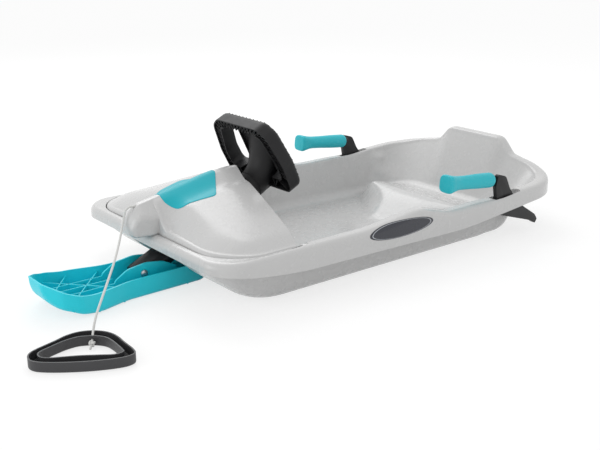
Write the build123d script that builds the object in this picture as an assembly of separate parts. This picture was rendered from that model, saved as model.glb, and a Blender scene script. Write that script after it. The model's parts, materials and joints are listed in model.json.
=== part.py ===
from build123d import *
import math
import os

# Steerable snow bobsled: a moulded tub with a front cowl, a steered front ski and two brake levers.
# All sizes are in millimetres. +X points forward, +Y to the rider's left, +Z up. The origin is on
# the ground, under the middle of the sled's length and width.

# ---- tub and rim
rim_front_x = 350.0          # front face of the turned-down rim
rim_rear_x = -561.0          # rear face of the turned-down rim
rim_half_width = 252.0       # outside of the turned-down rim
past_rim_y = rim_half_width + 48.0          # half width of cutting blocks that pass the rim
rim_front_corner_r = 62.0
rim_rear_corner_r = 105.0
tub_front_x = 339.0          # outside of the tub's front wall, under the rim
tub_rear_x = -474.0          # rear end of the tub's flat bottom
tub_half_width_top = 226.0   # outside of the tub's side wall at rim_z
tub_half_width_bottom = 207.0
tub_corner_r = 50.0          # plan radius of the tub's front corners
tub_rear_corner_r = 90.0
tub_bilge_r = 24.0           # bottom edge radius, seen from the front
rim_z = 103.0                # top of the rim beside the cowl
rim_hump_z = 117.0           # top of the rim beside the seat's front
rim_hump_x = -108.0
rim_waist_z = 98.0           # lowest part of the rim, in front of the brake levers
rim_tail_z = 113.0
wall = 3.5                   # moulded wall
rim_hump_front_x = 20.0      # where the rim starts to rise towards the hump
rim_waist_run = 85.0         # from the hump back to the waist
rim_waist_rear_x = -390.0
rim_top_r = [120, 70, 60, 300]              # bends of the rim's top line, front to rear
skirt_line = [(-270, 55.5), (190, 62)]      # bends of the rim's lower edge
skirt_rear_z = 86.0
skirt_front_z = 88.0
skirt_r = 420.0
bow_run = 90.0               # length of the sloping bow, seen from the side
bow_z = 76.0                 # where it meets the front wall
stern_run = 66.0             # how far the rear wall leans back up to the rim
stern_foot_run = 30.0        # length of the raised rear end of the bottom
stern_foot_z = 14.0
tub_side_r = [0, 40, 160, 30, 20, 0]        # bends of the tub's side view

# ---- backrest
back_shoulder_half_width = 191.0
back_shoulder_z = 116.5
back_notch_half_width = 105.0
back_notch_z = 136.0
back_top_half_width = 76.0
back_top_z = 168.0
back_lip_depth = 22.0        # how far the backrest's top edge is turned back

# ---- seat
seat_foot_x = -238.0         # where the thigh support rises from the floor
seat_ridge_x = -350.0
seat_ridge_z = 50.0
seat_pan_x = -412.0
seat_pan_z = 31.0
seat_half_width = 150.0      # of the ridge
seat_flank = 38.0            # how far each flank spreads down to the floor
seat_pan_fall = 6.0          # the pan's fall towards the rear
seat_rear_gap = 40.0         # from the pan's rear to the tub's rear
seat_side_r = [0, 22, 30, 0, 0]
seat_cross_r = 14.0

# ---- tunnel under the nose
tunnel_rear_x = 205.0
tunnel_z = 66.0
tunnel_half_width = 84.0
tower_half_width = 40.0      # of the raised part round the column
tower_reach = 36.0           # of that part above and below the column's axis
tower_mouth_z = 80.0         # of the opening under the nose

# ---- gutter inside the rim that the cowl stands in
gutter_rear_x = 160.0
gutter_inset = 15.0          # from the rim's outside
gutter_corner_r = 88.0
gutter_z = 92.0
gutter_width = 14.0

# ---- cowl
cowl_stations = [392.0, 340.0, 280.0, 220.0, 190.0, 160.0, 132.0]
cowl_crest = [152.7, 162.5, 175.0, 188.5, 193.5, 196.0, 196.0]      # height at each station
ridge_half_width = 26.0      # of the steeper strip along the cowl's crest
ridge_drop = 11.0            # from the crest to the strip's edge
cowl_gap = 2.0               # between the cowl and the gutter's side
cowl_rear_top_x = 145.0
cowl_rear_foot_x = 185.0
cowl_wall = 3.0
cowl_knee_share = 0.87       # of the half width, where the side turns down to the foot
cowl_knee_rise = 0.20        # of the rise from the rim to the crest
cowl_section_r = [0, 6, 12, 30, 5]          # bends from the foot up to the crest
nose_back_x = 300.0          # where it grows out of the cowl, inside
nose_front_x = 385.0
nose_half_width = 24.0       # of the front face
nose_root_half_width = 38.0
nose_gap = 4.0               # between the nose and the top of the rim
nose_bottom_z = rim_z + nose_gap
nose_lip_rise = 23.0         # from its bottom to where the front face starts to slope back
nose_lip_z = nose_bottom_z + nose_lip_rise
nose_top_x = 366.0           # where it reaches the crest
nose_top_z = 157.5

# ---- panel on top of the cowl
panel_front_x = 315.0
panel_front_half_width = 20.0
panel_shoulder_x = 296.0
panel_shoulder_half_width = 48.0
panel_corner_x = 231.0
panel_half_width = 63.0
panel_rear_x = 195.0
panel_rear_half_width = 7.0
panel_thickness = 1.2
panel_corner_r = [14, 24, 10, 8]

# ---- steering line: the axis that wheel, column and ski turn about
steer_x = 88.0               # where the axis meets the wheel's front plane
steer_z = 161.4
steer_tilt = 26.0            # degrees below the horizontal, falling forwards

# ---- steering wheel
wheel_half_width = 102.0
wheel_top = 125.0            # above the axis, in the wheel's plane
wheel_bottom = 14.0          # below the axis, in the wheel's plane
wheel_depth = 30.0
wheel_bar = 20.0             # width of the rim's bar, in the wheel's plane
wheel_wall = 2.6
pad_half_width = 40.0
hub_r = 27.0
hub_length = 34.0
wheel_corner_r = [22, 30, 40, 20]           # from the top of the wheel down one side
opening_corner_r = [6, 13, 24, 10, 6]

# ---- column and its bearing
column_r = 22.0
column_bore_r = 17.0
column_end = 315.0           # along the axis, from the wheel's front plane
bearing_start = 128.0        # front face of the bulkhead, along the axis
bearing_front = 58.0         # reach of the bearing in front of the bulkhead
bearing_back = 12.0          # and behind it
bearing_r = 26.0
bearing_flange_r = 32.0
bearing_flange = 4.0         # its thickness
running_gap = 0.05

# ---- ski
ski_tip_x = 561.0
ski_rear_x = 236.0
ski_wall_z = 39.0
ski_tip_z = 62.0
ski_wall = 3.0
ski_draft = 6.0              # degrees
bolt_x = 366.0
bolt_z = 36.0
bolt_r = 4.0
bolt_head_r = 7.0
bolt_head_height = 5.0
bolt_end_reach = 8.0         # past the cradle, through the nut
nut_half_across = 6.6
nut_height = 6.0
cradle_half_width = 26.0
cradle_wall = 3.6
cradle_rear_x = 286.0
cradle_front_x = 414.0
cradle_front_wall = 4.0
cheek_outline = [(290, 2), (298, 36), (320, 52), (350, 59), (390, 59), (407, 52), (414, 2)]
cheek_outline_r = [0, 12, 24, 30, 24, 10, 0]
collar_r = 11.0              # of the ring round the bolt on each cheek
collar_bore_r = 7.6
collar_reach = 2.5
rib_drop = 9.0               # rib tops below the top of the wall
rib_thickness = 2.2
keel_rib_thickness = 2.4
rib_length = 190.0
rib_crosses = [(470, 48), (525, 48), (270, 55)]     # middle of each crossing pair, and its turn

# ---- brake levers
lever_y = 237.0
lever_thickness = 9.0
lever_pivot_x = -365.0
lever_pivot_z = 82.0
pivot_pin_r = 3.0
boss_r = 8.0
boss_inner_y = 229.5
boss_outer_y = 244.5
pin_end_y = 247.5
grip_y = 229.0
grip_front_x = -194.0
grip_rear_x = -341.0
grip_front_z = 148.0
grip_rear_z = 133.0
grip_r = 15.0
grip_flare_r = 19.0
grip_bar_r = 8.5
slot_front_x = -324.0
slot_rear_x = -409.0
slot_half_width = 9.0
grip_flare_length = 18.0
grip_start = 12.0            # from the rear end of the lever's bar
grip_bar_short = 16.0        # how far the bar ends inside the grip
lever_outline = [
    (-338, 146),
    (-362, 139),
    (-376, 112),
    (-387, 98),
    (-399, 78),
    (-424, 64),
    (-466, 38),
    (-475, 26),
    (-469, 17),
    (-454, 26),
    (-350, 58),
    (-340, 80),
    (-332, 122),
]
lever_outline_r = [4, 14, 20, 10, 10, 16, 10, 3, 3, 16, 10, 20, 6]

# ---- side labels
label_x = -56.0
label_z = 92.0
label_half_length = 82.0
label_half_height = 16.0
label_thickness = 0.6

# ---- pull handle, lying on the ground in front of the ski
handle_x = 593.0             # middle of its straight bar
handle_y = 240.0
handle_turn = 150.76         # degrees, direction of that bar from +X
handle_outline = [(-83, -8), (-82, 33), (-31, 104), (29, 104), (60, 71), (79, -8)]
handle_outline_r = [17, 16, 24, 26, 16, 17]
handle_hole = [(-55, 15), (-51, 33), (-19, 80), (17, 80), (38, 63), (53, 15)]
handle_hole_r = [7, 10, 12, 12, 10, 7]
handle_height = 18.0
handle_wall = 2.4

# ---- tow cord, from the knot inside the nose to the knot inside the handle's loop
cord_r = 2.0
cord_hole_r = 2.9
knot_r = 6.0
knot_tail_r = 1.6
cord_route = [
    (350.0, 0.0, 149.6),
    (376.5, 0.0, 158.6),
    (389.0, 1.0, 129.5),
    (409.0, 24.6, 108.0),
    (434.6, 51.9, 84.4),
    (458.3, 76.9, 70.1),
    (492.0, 112.5, 51.0),
    (523.0, 145.5, 34.0),
]                            # the last two points are set from the handle
cord_along = 10.0            # where the cord meets the handle, along its straight bar
cord_channel_inward = 94.0
cord_channel_z = 13.0
cord_end_z = 8.0

os.makedirs("parts", exist_ok=True)
tilt = math.radians(steer_tilt)


def side_profile(points, radii):
    """Face in the XZ plane from a closed outline with a radius at each corner."""
    wire = FilletPolyline(*[(x, 0, z) for x, z in points], radius=radii, close=True)
    return make_face(wire)


def across(points, radii, half_width):
    """Solid with that side outline, from -half_width to +half_width in Y."""
    face = side_profile(points, radii)
    return extrude(face, amount=half_width, dir=(0, 1, 0), both=True)


def front_profile(points, radii, x0, x1):
    """Solid with an outline in the YZ plane, from x0 to x1."""
    wire = FilletPolyline(*[(x0, y, z) for y, z in points], radius=radii, close=True)
    return extrude(make_face(wire), amount=x1 - x0, dir=(1, 0, 0))


def plan_block(points, radii, z0, z1):
    """Solid with an outline in the XY plane, from z0 to z1."""
    wire = FilletPolyline(*[(x, y, z0) for x, y in points], radius=radii, close=True)
    return extrude(make_face(wire), amount=z1 - z0, dir=(0, 0, 1))


def steer_point(along, up=0.0, side=0.0):
    """Point at a distance along the steering axis, and up and sideways from it."""
    x = steer_x + along * math.cos(tilt) + up * math.sin(tilt)
    z = steer_z - along * math.sin(tilt) + up * math.cos(tilt)
    return Vector(x, side, z)


def steer_plane(along):
    """Plane square to the steering axis: local X is +Y, local Y is up the wheel."""
    axis = Vector(math.cos(tilt), 0, -math.sin(tilt))
    return Plane(origin=steer_point(along), x_dir=(0, 1, 0), z_dir=axis)


def steer_cylinder(radius, start, end, end_radius=None):
    """Round bar or cone along the steering axis."""
    radius_b = radius if end_radius is None else end_radius
    plane = steer_plane(start)
    if abs(radius - radius_b) < 1e-9:
        return plane * extrude(Circle(radius), amount=end - start)
    return plane * Pos(0, 0, (end - start) / 2) * Cone(radius, radius_b, end - start)


def save(name, shape):
    """Write one sub-part."""
    export_step(shape, "parts/" + name + ".step")


# ---------------------------------------------------------------- tub, rim and backrest
def rim_outline(inset):
    x0 = rim_rear_x + inset
    x1 = rim_front_x - inset
    y1 = rim_half_width - inset
    points = [(x1, y1), (x1, -y1), (x0, -y1), (x0, y1)]
    front_r = rim_front_corner_r - inset
    rear_r = rim_rear_corner_r - inset
    return points, [front_r, front_r, rear_r, rear_r]


def rim_side(drop, bottom):
    """Side view of the rim band: its top line lowered by drop; bottom is its lower line or a depth."""
    top = [
        (rim_front_x + 40, rim_z - drop),
        (rim_hump_front_x, rim_z - drop),
        (rim_hump_x, rim_hump_z - drop),
        (rim_hump_x - rim_waist_run, rim_waist_z - drop),
        (rim_waist_rear_x, rim_waist_z - drop),
        (rim_rear_x - 40, rim_tail_z - drop + 2),
    ]
    top_radii = [0] + rim_top_r + [0]
    if bottom is None:
        low = [(rim_rear_x - 40, skirt_rear_z)] + skirt_line + [(rim_front_x + 40, skirt_front_z)]
        low_radii = [0, skirt_r, skirt_r, 0]
    else:
        low = [(rim_rear_x - 40, bottom), (rim_front_x + 40, bottom)]
        low_radii = [0, 0]
    return top + low, top_radii + low_radii


def tub_solid(inset, top_z):
    """The tub's outside lessened by inset, as a closed body up to top_z."""
    front = tub_front_x - inset
    rear = tub_rear_x + inset
    side = across(
        [
            (front, top_z),
            (front, bow_z + inset),
            (front - bow_run + 0.5 * inset, inset),
            (rear + stern_foot_run, inset),
            (rear, stern_foot_z + inset),
            (rear - stern_run * (top_z - stern_foot_z) / (rim_z + 16), top_z),
        ],
        tub_side_r,
        tub_half_width_top + 40,
    )
    rise = (tub_half_width_top - tub_half_width_bottom) / rim_z
    y_top = tub_half_width_bottom + rise * top_z - inset
    y_low = tub_half_width_bottom - inset
    cross = front_profile(
        [(y_top, top_z), (y_low, inset), (-y_low, inset), (-y_top, top_z)],
        [0, tub_bilge_r - inset, tub_bilge_r - inset, 0],
        tub_rear_x - 120,
        tub_front_x + 10,
    )
    y1 = tub_half_width_top - inset
    x0 = tub_rear_x - stern_run + inset
    front_r = tub_corner_r - inset
    rear_r = tub_rear_corner_r - inset
    outline = [(front, y1), (front, -y1), (x0, -y1), (x0, y1)]
    plan = plan_block(outline, [front_r, front_r, rear_r, rear_r], -1, top_z + 1)
    return side & cross & plan


def seat_wedge(lower):
    """The raised thigh support and seat pan, its surface lowered by lower."""
    side = across(
        [
            (seat_foot_x - 2.6 * lower, -2),
            (seat_ridge_x, seat_ridge_z - lower),
            (seat_pan_x, seat_pan_z - lower),
            (tub_rear_x + seat_rear_gap + lower, seat_pan_z - seat_pan_fall - lower),
            (tub_rear_x + seat_rear_gap + lower, -2),
        ],
        seat_side_r,
        tub_half_width_top,
    )
    y_low = seat_half_width + seat_flank - lower
    y_top = seat_half_width - lower
    cross = front_profile(
        [(y_low, -2), (y_top, seat_ridge_z), (-y_top, seat_ridge_z), (-y_low, -2)],
        [0, seat_cross_r, seat_cross_r, 0],
        tub_rear_x,
        seat_foot_x + 40,
    )
    return side & cross


def ski_tunnel(grow):
    """Space under the nose for the ski's rear end and the column, grown by grow."""
    low = across(
        [
            (tunnel_rear_x - grow, -2),
            (tunnel_rear_x - grow, tunnel_z + grow - 12),
            (tunnel_rear_x + 14 - grow, tunnel_z + grow),
            (rim_front_x + 60, tunnel_z + grow),
            (rim_front_x + 60, -2),
        ],
        0,
        tunnel_half_width + grow,
    )
    head = steer_point(bearing_start, tower_reach + grow)
    foot = steer_point(bearing_start, -tower_reach - grow)
    shift = grow / math.cos(tilt)
    tower = across(
        [
            (foot.X - shift, foot.Z),
            (head.X - shift, head.Z),
            (tub_front_x - 30, tower_mouth_z + grow),
            (rim_front_x + 60, tower_mouth_z + grow),
            (rim_front_x + 60, -2),
            (foot.X - shift, -2),
        ],
        0,
        tower_half_width + grow,
    )
    return low + tower


def gutter(inset, corner_r, rear_x, z0, z1):
    """Block with the plan of the gutter's outer side, inset from the rim's outside."""
    x1 = rim_front_x - inset
    y1 = rim_half_width - inset
    outline = [(x1, y1), (x1, -y1), (rear_x, -y1), (rear_x, y1)]
    return plan_block(outline, [corner_r, corner_r, 0, 0], z0, z1)


def back_hat(inset, side_drop):
    """Outline of the backrest from the front, its top lessened by inset."""
    shoulder_y = back_shoulder_half_width + side_drop
    return (
        [
            (shoulder_y, -40),
            (shoulder_y, back_shoulder_z - inset),
            (back_notch_half_width - inset, back_notch_z - inset),
            (back_top_half_width - inset, back_top_z - inset),
            (-back_top_half_width + inset, back_top_z - inset),
            (-back_notch_half_width + inset, back_notch_z - inset),
            (-shoulder_y, back_shoulder_z - inset),
            (-shoulder_y, -40),
        ],
        [0, 10, 18, 18, 18, 18, 10, 0],
    )


def make_hull():
    outer_points, outer_radii = rim_outline(0)
    inner_points, inner_radii = rim_outline(wall)
    side_points, side_radii = rim_side(0, None)
    under_points, under_radii = rim_side(wall, -20)
    band = plan_block(outer_points, outer_radii, 0, 200) & across(side_points, side_radii, past_rim_y)
    under = plan_block(inner_points, inner_radii, -30, 200) & across(under_points, under_radii, past_rim_y)
    band_shell = band - under
    tub_out = tub_solid(0, rim_z + 30)
    tub_in = tub_solid(wall, rim_z + 60)
    rim_points, rim_radii = rim_side(0, -60)
    rim_cut = across(rim_points, rim_radii, past_rim_y)
    recess = seat_wedge(wall) + ski_tunnel(0)
    raised = seat_wedge(0) + ski_tunnel(wall)
    inside = tub_in - raised
    tub_shell = (tub_out & rim_cut) - recess - inside
    hull = band_shell - (tub_in - ski_tunnel(wall)) + tub_shell

    # backrest: a sloping panel with its top edge turned back
    points, radii = back_hat(0, 0)
    hat = front_profile(points, radii, rim_rear_x, rim_rear_x + 130)
    points, radii = back_hat(wall, 1)
    hat_in = front_profile(points, radii, rim_rear_x - 1, rim_rear_x + 130)
    lip_x = rim_rear_x + back_lip_depth
    lean = across(
        [
            (tub_rear_x, 14),
            (lip_x, back_top_z + 20),
            (rim_rear_x, back_top_z + 20),
            (rim_rear_x, 85),
            (tub_rear_x - 20, 14),
        ],
        0,
        past_rim_y,
    )
    lean_in = across(
        [
            (tub_rear_x - wall - 2, 13),
            (lip_x - wall - 1, back_top_z + 20),
            (rim_rear_x - 1, back_top_z + 20),
            (rim_rear_x - 1, 13),
        ],
        0,
        past_rim_y,
    )
    hat = hat & lean & plan_block(outer_points, outer_radii, -50, 200)
    hat_in = hat_in & lean_in & plan_block(inner_points, inner_radii, -50, 200)
    hull = hull - hat_in
    hull = hull + (hat - hat_in)

    # gutter for the cowl: the rim's inner part steps down to a narrow ledge
    outer = gutter(gutter_inset - wall, gutter_corner_r + wall, gutter_rear_x - wall, gutter_z - wall, rim_z)
    step = gutter_inset + gutter_width
    middle = gutter(step, gutter_corner_r - gutter_width, gutter_rear_x - 40, 0, rim_z + 1)
    cavity = gutter(gutter_inset, gutter_corner_r, gutter_rear_x, gutter_z, rim_z + 40)
    hull = hull + (outer - middle)
    hull = hull - cavity

    # slots in the rim and bosses under it for the brake levers
    for side in (1, -1):
        slot = Pos((slot_front_x + slot_rear_x) / 2, side * lever_y, rim_z) * Box(
            slot_front_x - slot_rear_x, 2 * slot_half_width, 60
        )
        hull = hull - slot
        for y0, y1 in ((tub_half_width_top - 7, boss_inner_y), (boss_outer_y, rim_half_width - 1)):
            boss = Cylinder(boss_r, y1 - y0, rotation=(90, 0, 0))
            boss = Pos(lever_pivot_x, side * (y0 + y1) / 2, lever_pivot_z) * boss
            hull = hull + (boss - tub_in)
        pin_hole = Cylinder(pivot_pin_r, 2 * (pin_end_y - lever_y), rotation=(90, 0, 0))
        hull = hull - Pos(lever_pivot_x, side * lever_y, lever_pivot_z) * pin_hole

    # hole for the column's bearing
    hull = hull - steer_cylinder(bearing_r, bearing_start - 40, bearing_start + 40)
    return hull


# ---------------------------------------------------------------- cowl and its panel
def cowl_section(x, crest, inset):
    """Tent-shaped section of the cowl at x, its surface lessened by inset."""
    half = rim_half_width - gutter_inset - cowl_gap - inset
    rise = crest - rim_z
    points = [
        (half, gutter_z - 1),
        (half, rim_z - 2),
        (cowl_knee_share * half, rim_z + cowl_knee_rise * rise - inset),
        (ridge_half_width, crest - ridge_drop - inset),
        (4, crest - inset),
        (-4, crest - inset),
        (-ridge_half_width, crest - ridge_drop - inset),
        (-cowl_knee_share * half, rim_z + cowl_knee_rise * rise - inset),
        (-half, rim_z - 2),
        (-half, gutter_z - 1),
    ]
    radii = cowl_section_r + cowl_section_r[::-1]
    wire = FilletPolyline(*[(x, y, z) for y, z in points], radius=radii, close=True)
    return make_face(wire)


def cowl_body(inset):
    """The cowl's outside lessened by inset, as a closed body."""
    sections = [cowl_section(x, crest, inset) for x, crest in zip(cowl_stations, cowl_crest)]
    return loft(sections, ruled=True)


def nose_body(inset):
    """The nose that the tow cord is tied in, lessened by inset."""
    lean = (nose_front_x - nose_top_x) / (nose_top_z - nose_lip_z)
    side = across(
        [
            (nose_back_x, nose_bottom_z + inset),
            (nose_front_x - inset, nose_bottom_z + inset),
            (nose_front_x - inset, nose_lip_z - 0.5 * inset),
            (nose_top_x - 20 * lean - inset, nose_top_z + 20 - 0.5 * inset),
            (nose_back_x, nose_top_z + 20),
        ],
        0,
        nose_root_half_width - inset,
    )
    front = nose_half_width - 0.7 * inset
    root = nose_root_half_width - inset
    outline = [
        (nose_front_x - inset, front),
        (nose_front_x - inset, -front),
        (nose_top_x - inset, -root),
        (nose_back_x, -root - 12),
        (nose_back_x, root + 12),
        (nose_top_x - inset, root),
    ]
    return side & plan_block(outline, 0, 0, 300) & cowl_body(inset)


def make_cowl():
    gap = gutter_inset + cowl_gap
    corner = gutter_corner_r - cowl_gap
    plan = gutter(gap, corner, 100, gutter_z, 300)
    plan_in = gutter(gap + cowl_wall, corner - cowl_wall, 90, 0, 300)
    body = (cowl_body(0) & plan) + nose_body(0)
    hollow = (cowl_body(cowl_wall) & plan_in) + nose_body(cowl_wall)
    foot_z = gutter_z - 10
    top_z = 230
    slope = (cowl_rear_foot_x - cowl_rear_top_x) / (cowl_crest[-1] - gutter_z)
    behind = across(
        [
            (0, foot_z),
            (cowl_rear_foot_x + 10 * slope, foot_z),
            (cowl_rear_top_x - slope * (top_z - cowl_crest[-1]), top_z),
            (0, top_z),
        ],
        0,
        past_rim_y,
    )
    cord_hole = rod(cord_route[0], cord_route[1], cord_hole_r, 30)
    return body - hollow - behind - cord_hole


def panel_outline():
    half = [
        (panel_front_x, panel_front_half_width),
        (panel_shoulder_x, panel_shoulder_half_width),
        (panel_corner_x, panel_half_width),
        (panel_rear_x, panel_rear_half_width),
    ]
    return half + [(x, -y) for x, y in reversed(half)], panel_corner_r + panel_corner_r[::-1]


def make_cowl_panel():
    points, radii = panel_outline()
    return (cowl_body(-panel_thickness) - cowl_body(0)) & plan_block(points, radii, 120, 230)


def make_label(side):
    plane = Plane(origin=(label_x, side * rim_half_width, label_z), x_dir=(1, 0, 0), z_dir=(0, side, 0))
    return plane * extrude(Ellipse(label_half_length, label_half_height), amount=label_thickness)


# ---------------------------------------------------------------- steering
def steer_ring(inner_r, outer_r, start, end):
    return steer_cylinder(outer_r, start, end) - steer_cylinder(inner_r, start - 1, end + 1)


def make_bearing():
    bore = column_r + running_gap
    body = steer_ring(bore, bearing_r, bearing_start - bearing_back, bearing_start + bearing_front)
    flange = steer_ring(bore, bearing_flange_r, bearing_start, bearing_start + bearing_flange)
    return body + flange


def area_sign(points):
    """1 for an outline that runs anticlockwise, otherwise -1."""
    turn = 0.0
    for (x0, y0), (x1, y1) in zip(points, points[1:] + points[:1]):
        turn += x0 * y1 - x1 * y0
    return 1.0 if turn > 0 else -1.0


def shrink(points, inset):
    """A convex outline with every side moved in by inset."""
    sign = area_sign(points)
    lines = []
    for (x0, y0), (x1, y1) in zip(points, points[1:] + points[:1]):
        length = math.hypot(x1 - x0, y1 - y0)
        nx = -(y1 - y0) / length * sign
        ny = (x1 - x0) / length * sign
        lines.append((nx, ny, nx * x0 + ny * y0 + inset))
    result = []
    for (a0, b0, c0), (a1, b1, c1) in zip(lines[-1:] + lines[:-1], lines):
        det = a0 * b1 - a1 * b0
        result.append(((c0 * b1 - c1 * b0) / det, (a0 * c1 - a1 * c0) / det))
    return result


def flat_block(points, radii, inset, z0, z1):
    """Block in local XY from a convex outline moved in by inset, each corner radius changed to suit."""
    corners = shrink([(float(x), float(y)) for x, y in points], inset)
    rounded = [max(r - inset, 0.5) for r in radii]
    if area_sign(corners) < 0:
        corners.reverse()
        rounded.reverse()
    wire = FilletPolyline(*[(x, y, z0) for x, y in corners], radius=rounded, close=True)
    return extrude(make_face(wire), amount=z1 - z0, dir=(0, 0, 1))


def wheel_outline():
    w = wheel_half_width
    points = [
        (-0.62 * w, wheel_top),
        (-0.86 * w, 0.86 * wheel_top),
        (-w, 0.36 * wheel_top),
        (-0.96 * w, -wheel_bottom),
        (0.96 * w, -wheel_bottom),
        (w, 0.36 * wheel_top),
        (0.86 * w, 0.86 * wheel_top),
        (0.62 * w, wheel_top),
    ]
    return points, wheel_corner_r + wheel_corner_r[::-1]


def wheel_openings():
    """The two openings, either side of the wheel's central pad."""
    inner = wheel_half_width - wheel_bar
    top = wheel_top - wheel_bar
    points = [
        (pad_half_width, top),
        (0.77 * inner, top),
        (inner, 0.36 * wheel_top),
        (0.97 * inner, wheel_bottom),
        (pad_half_width, wheel_bottom),
    ]
    return points, opening_corner_r


def mirrored(points):
    return [(-x, y) for x, y in points]


def make_wheel():
    outline, outline_r = wheel_outline()
    gap, gap_r = wheel_openings()
    floor_z = -wheel_depth + wheel_wall
    floor = flat_block(outline, outline_r, 0, -wheel_depth, floor_z)
    walls = flat_block(outline, outline_r, 0, floor_z, 0)
    walls = walls - flat_block(outline, outline_r, wheel_wall, floor_z - 1, 1)
    for points in (gap, mirrored(gap)):
        hole = flat_block(points, gap_r, 0, -wheel_depth - 1, 1)
        floor = floor - hole
        walls = walls + (flat_block(points, gap_r, -wheel_wall, floor_z, 0) - hole)
    body = floor + walls
    hub = Pos(0, 0, (hub_length - wheel_depth) / 2) * Cylinder(hub_r, hub_length + wheel_depth)
    bore = Pos(0, 0, hub_length / 2 + 1) * Cylinder(column_r, hub_length + 2)
    return steer_plane(0) * (body + hub - bore)


def bolt_cylinder(radius, y0, y1):
    bar = Cylinder(radius, y1 - y0, rotation=(90, 0, 0))
    return Pos(bolt_x, (y0 + y1) / 2, bolt_z) * bar


def make_column():
    return steer_ring(column_bore_r, column_r, 0, column_end) - bolt_cylinder(bolt_r, -60, 60)


# ---------------------------------------------------------------- ski
def ski_outline(inset):
    half = [
        (ski_tip_x - inset, 25 - 0.6 * inset),
        (ski_tip_x - 24 - inset, 58 - inset),
        (ski_tip_x - 52, 74 - inset),
        (ski_tip_x - 96, 68 - inset),
        (ski_tip_x - 150, 53 - inset),
        (ski_rear_x + inset, 48 - inset),
    ]
    radii = [18, 30, 30, 90, 120, 10]
    points = half + [(x, -y) for x, y in reversed(half)]
    return points, [max(r - inset, 2) for r in radii] + [max(r - inset, 2) for r in reversed(radii)]


def ski_body(inset, top):
    points, radii = ski_outline(inset)
    side = across(
        [
            (ski_rear_x + inset, 10 + inset),
            (ski_rear_x + 24, inset),
            (ski_tip_x - 78, inset),
            (ski_tip_x - 18 - inset, 20 + inset),
            (ski_tip_x - inset, ski_tip_z - 12 + inset),
            (ski_tip_x - inset, ski_tip_z + top),
            (ski_tip_x - 34, ski_wall_z + 8 + top),
            (ski_tip_x - 70, ski_wall_z + top),
            (ski_rear_x + inset, ski_wall_z + top),
        ],
        [6, 30, 90, 30, 0, 0, 20, 40, 0],
        100,
    )
    lean = math.tan(math.radians(ski_draft))
    half = 74 - inset
    section = front_profile(
        [
            (half, ski_wall_z),
            (half, 90),
            (-half, 90),
            (-half, ski_wall_z),
            (-half + lean * ski_wall_z, inset),
            (half - lean * ski_wall_z, inset),
        ],
        [0, 0, 0, 0, 10 - inset, 10 - inset],
        ski_rear_x - 10,
        ski_tip_x + 10,
    )
    return plan_block(points, radii, -5, 100) & side & section


def make_ski():
    shell = ski_body(0, 0) - ski_body(ski_wall, 30)
    room = ski_body(ski_wall - 0.5, 0)
    rib_top = ski_wall_z - rib_drop
    keel = Box(ski_tip_x - ski_rear_x, keel_rib_thickness, rib_top)
    ribs = Pos((ski_rear_x + ski_tip_x) / 2, 0, rib_top / 2) * keel
    for x, turn in rib_crosses:
        for way in (turn, -turn):
            rib = Box(rib_length, rib_thickness, rib_top, rotation=(0, 0, way))
            ribs = ribs + Pos(x, 0, rib_top / 2) * rib
    cradle_length = cradle_front_x - cradle_rear_x
    cradle_x = (cradle_front_x + cradle_rear_x) / 2
    cradle_room = Pos(cradle_x, 0, 40) * Box(cradle_length, 2 * cradle_half_width, 80)
    shell = shell + ((ribs & room) - cradle_room)
    cheek = across(cheek_outline, cheek_outline_r, cradle_half_width)
    middle = Box(cradle_length, 2 * (cradle_half_width - cradle_wall), 100 - 2 * ski_wall)
    middle = Pos(cradle_x - cradle_front_wall, 0, 50) * middle
    for side in (1, -1):
        y0 = side * (cradle_half_width - 0.5)
        y1 = side * (cradle_half_width + collar_reach)
        ring = bolt_cylinder(collar_r, min(y0, y1), max(y0, y1)) - bolt_cylinder(collar_bore_r, -60, 60)
        cheek = cheek + ring
    shell = shell + (cheek - middle)
    return shell - bolt_cylinder(bolt_r, -60, 60)


def make_bolt():
    head_y = cradle_half_width
    shank = bolt_cylinder(bolt_r, -head_y - bolt_end_reach, head_y)
    return shank + bolt_cylinder(bolt_head_r, head_y, head_y + bolt_head_height)


def make_nut():
    plane = Plane(origin=(bolt_x, -cradle_half_width, bolt_z), x_dir=(1, 0, 0), z_dir=(0, -1, 0))
    nut = plane * extrude(RegularPolygon(nut_half_across, 6, major_radius=False), amount=nut_height)
    return nut - bolt_cylinder(bolt_r, -60, 60)


# ---------------------------------------------------------------- brake levers
def grip_plane(side, along=0.0):
    """Plane square to the grip's axis: the axis runs forwards from its rear end."""
    dx = grip_front_x - grip_rear_x
    dz = grip_front_z - grip_rear_z
    length = math.hypot(dx, dz)
    axis = Vector(dx / length, 0, dz / length)
    start = Vector(grip_rear_x, side * grip_y, grip_rear_z) + axis * along
    return Plane(origin=start, x_dir=(0, 1, 0), z_dir=axis)


def grip_length():
    return math.hypot(grip_front_x - grip_rear_x, grip_front_z - grip_rear_z)


def make_lever(side):
    plate = across(lever_outline, lever_outline_r, lever_thickness / 2)
    plate = Pos(0, side * lever_y, 0) * plate
    bar_end = grip_length() - grip_bar_short
    bar = grip_plane(side) * extrude(Circle(grip_bar_r), amount=bar_end)
    hole = Cylinder(pivot_pin_r + running_gap, 60, rotation=(90, 0, 0))
    return plate + bar - Pos(lever_pivot_x, side * lever_y, lever_pivot_z) * hole


def make_grip(side):
    length = grip_length()
    flare = grip_flare_length
    grip = grip_plane(side, grip_start) * extrude(Circle(grip_r), amount=length - grip_start - flare)
    cone = Pos(0, 0, flare / 2) * Cone(grip_r, grip_flare_r, flare)
    grip = grip + grip_plane(side, length - flare) * cone
    return grip


def make_pin(side):
    y0 = lever_y - (pin_end_y - lever_y)
    pin = Cylinder(pivot_pin_r, pin_end_y - y0, rotation=(90, 0, 0))
    return Pos(lever_pivot_x, side * (y0 + pin_end_y) / 2, lever_pivot_z) * pin


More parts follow.
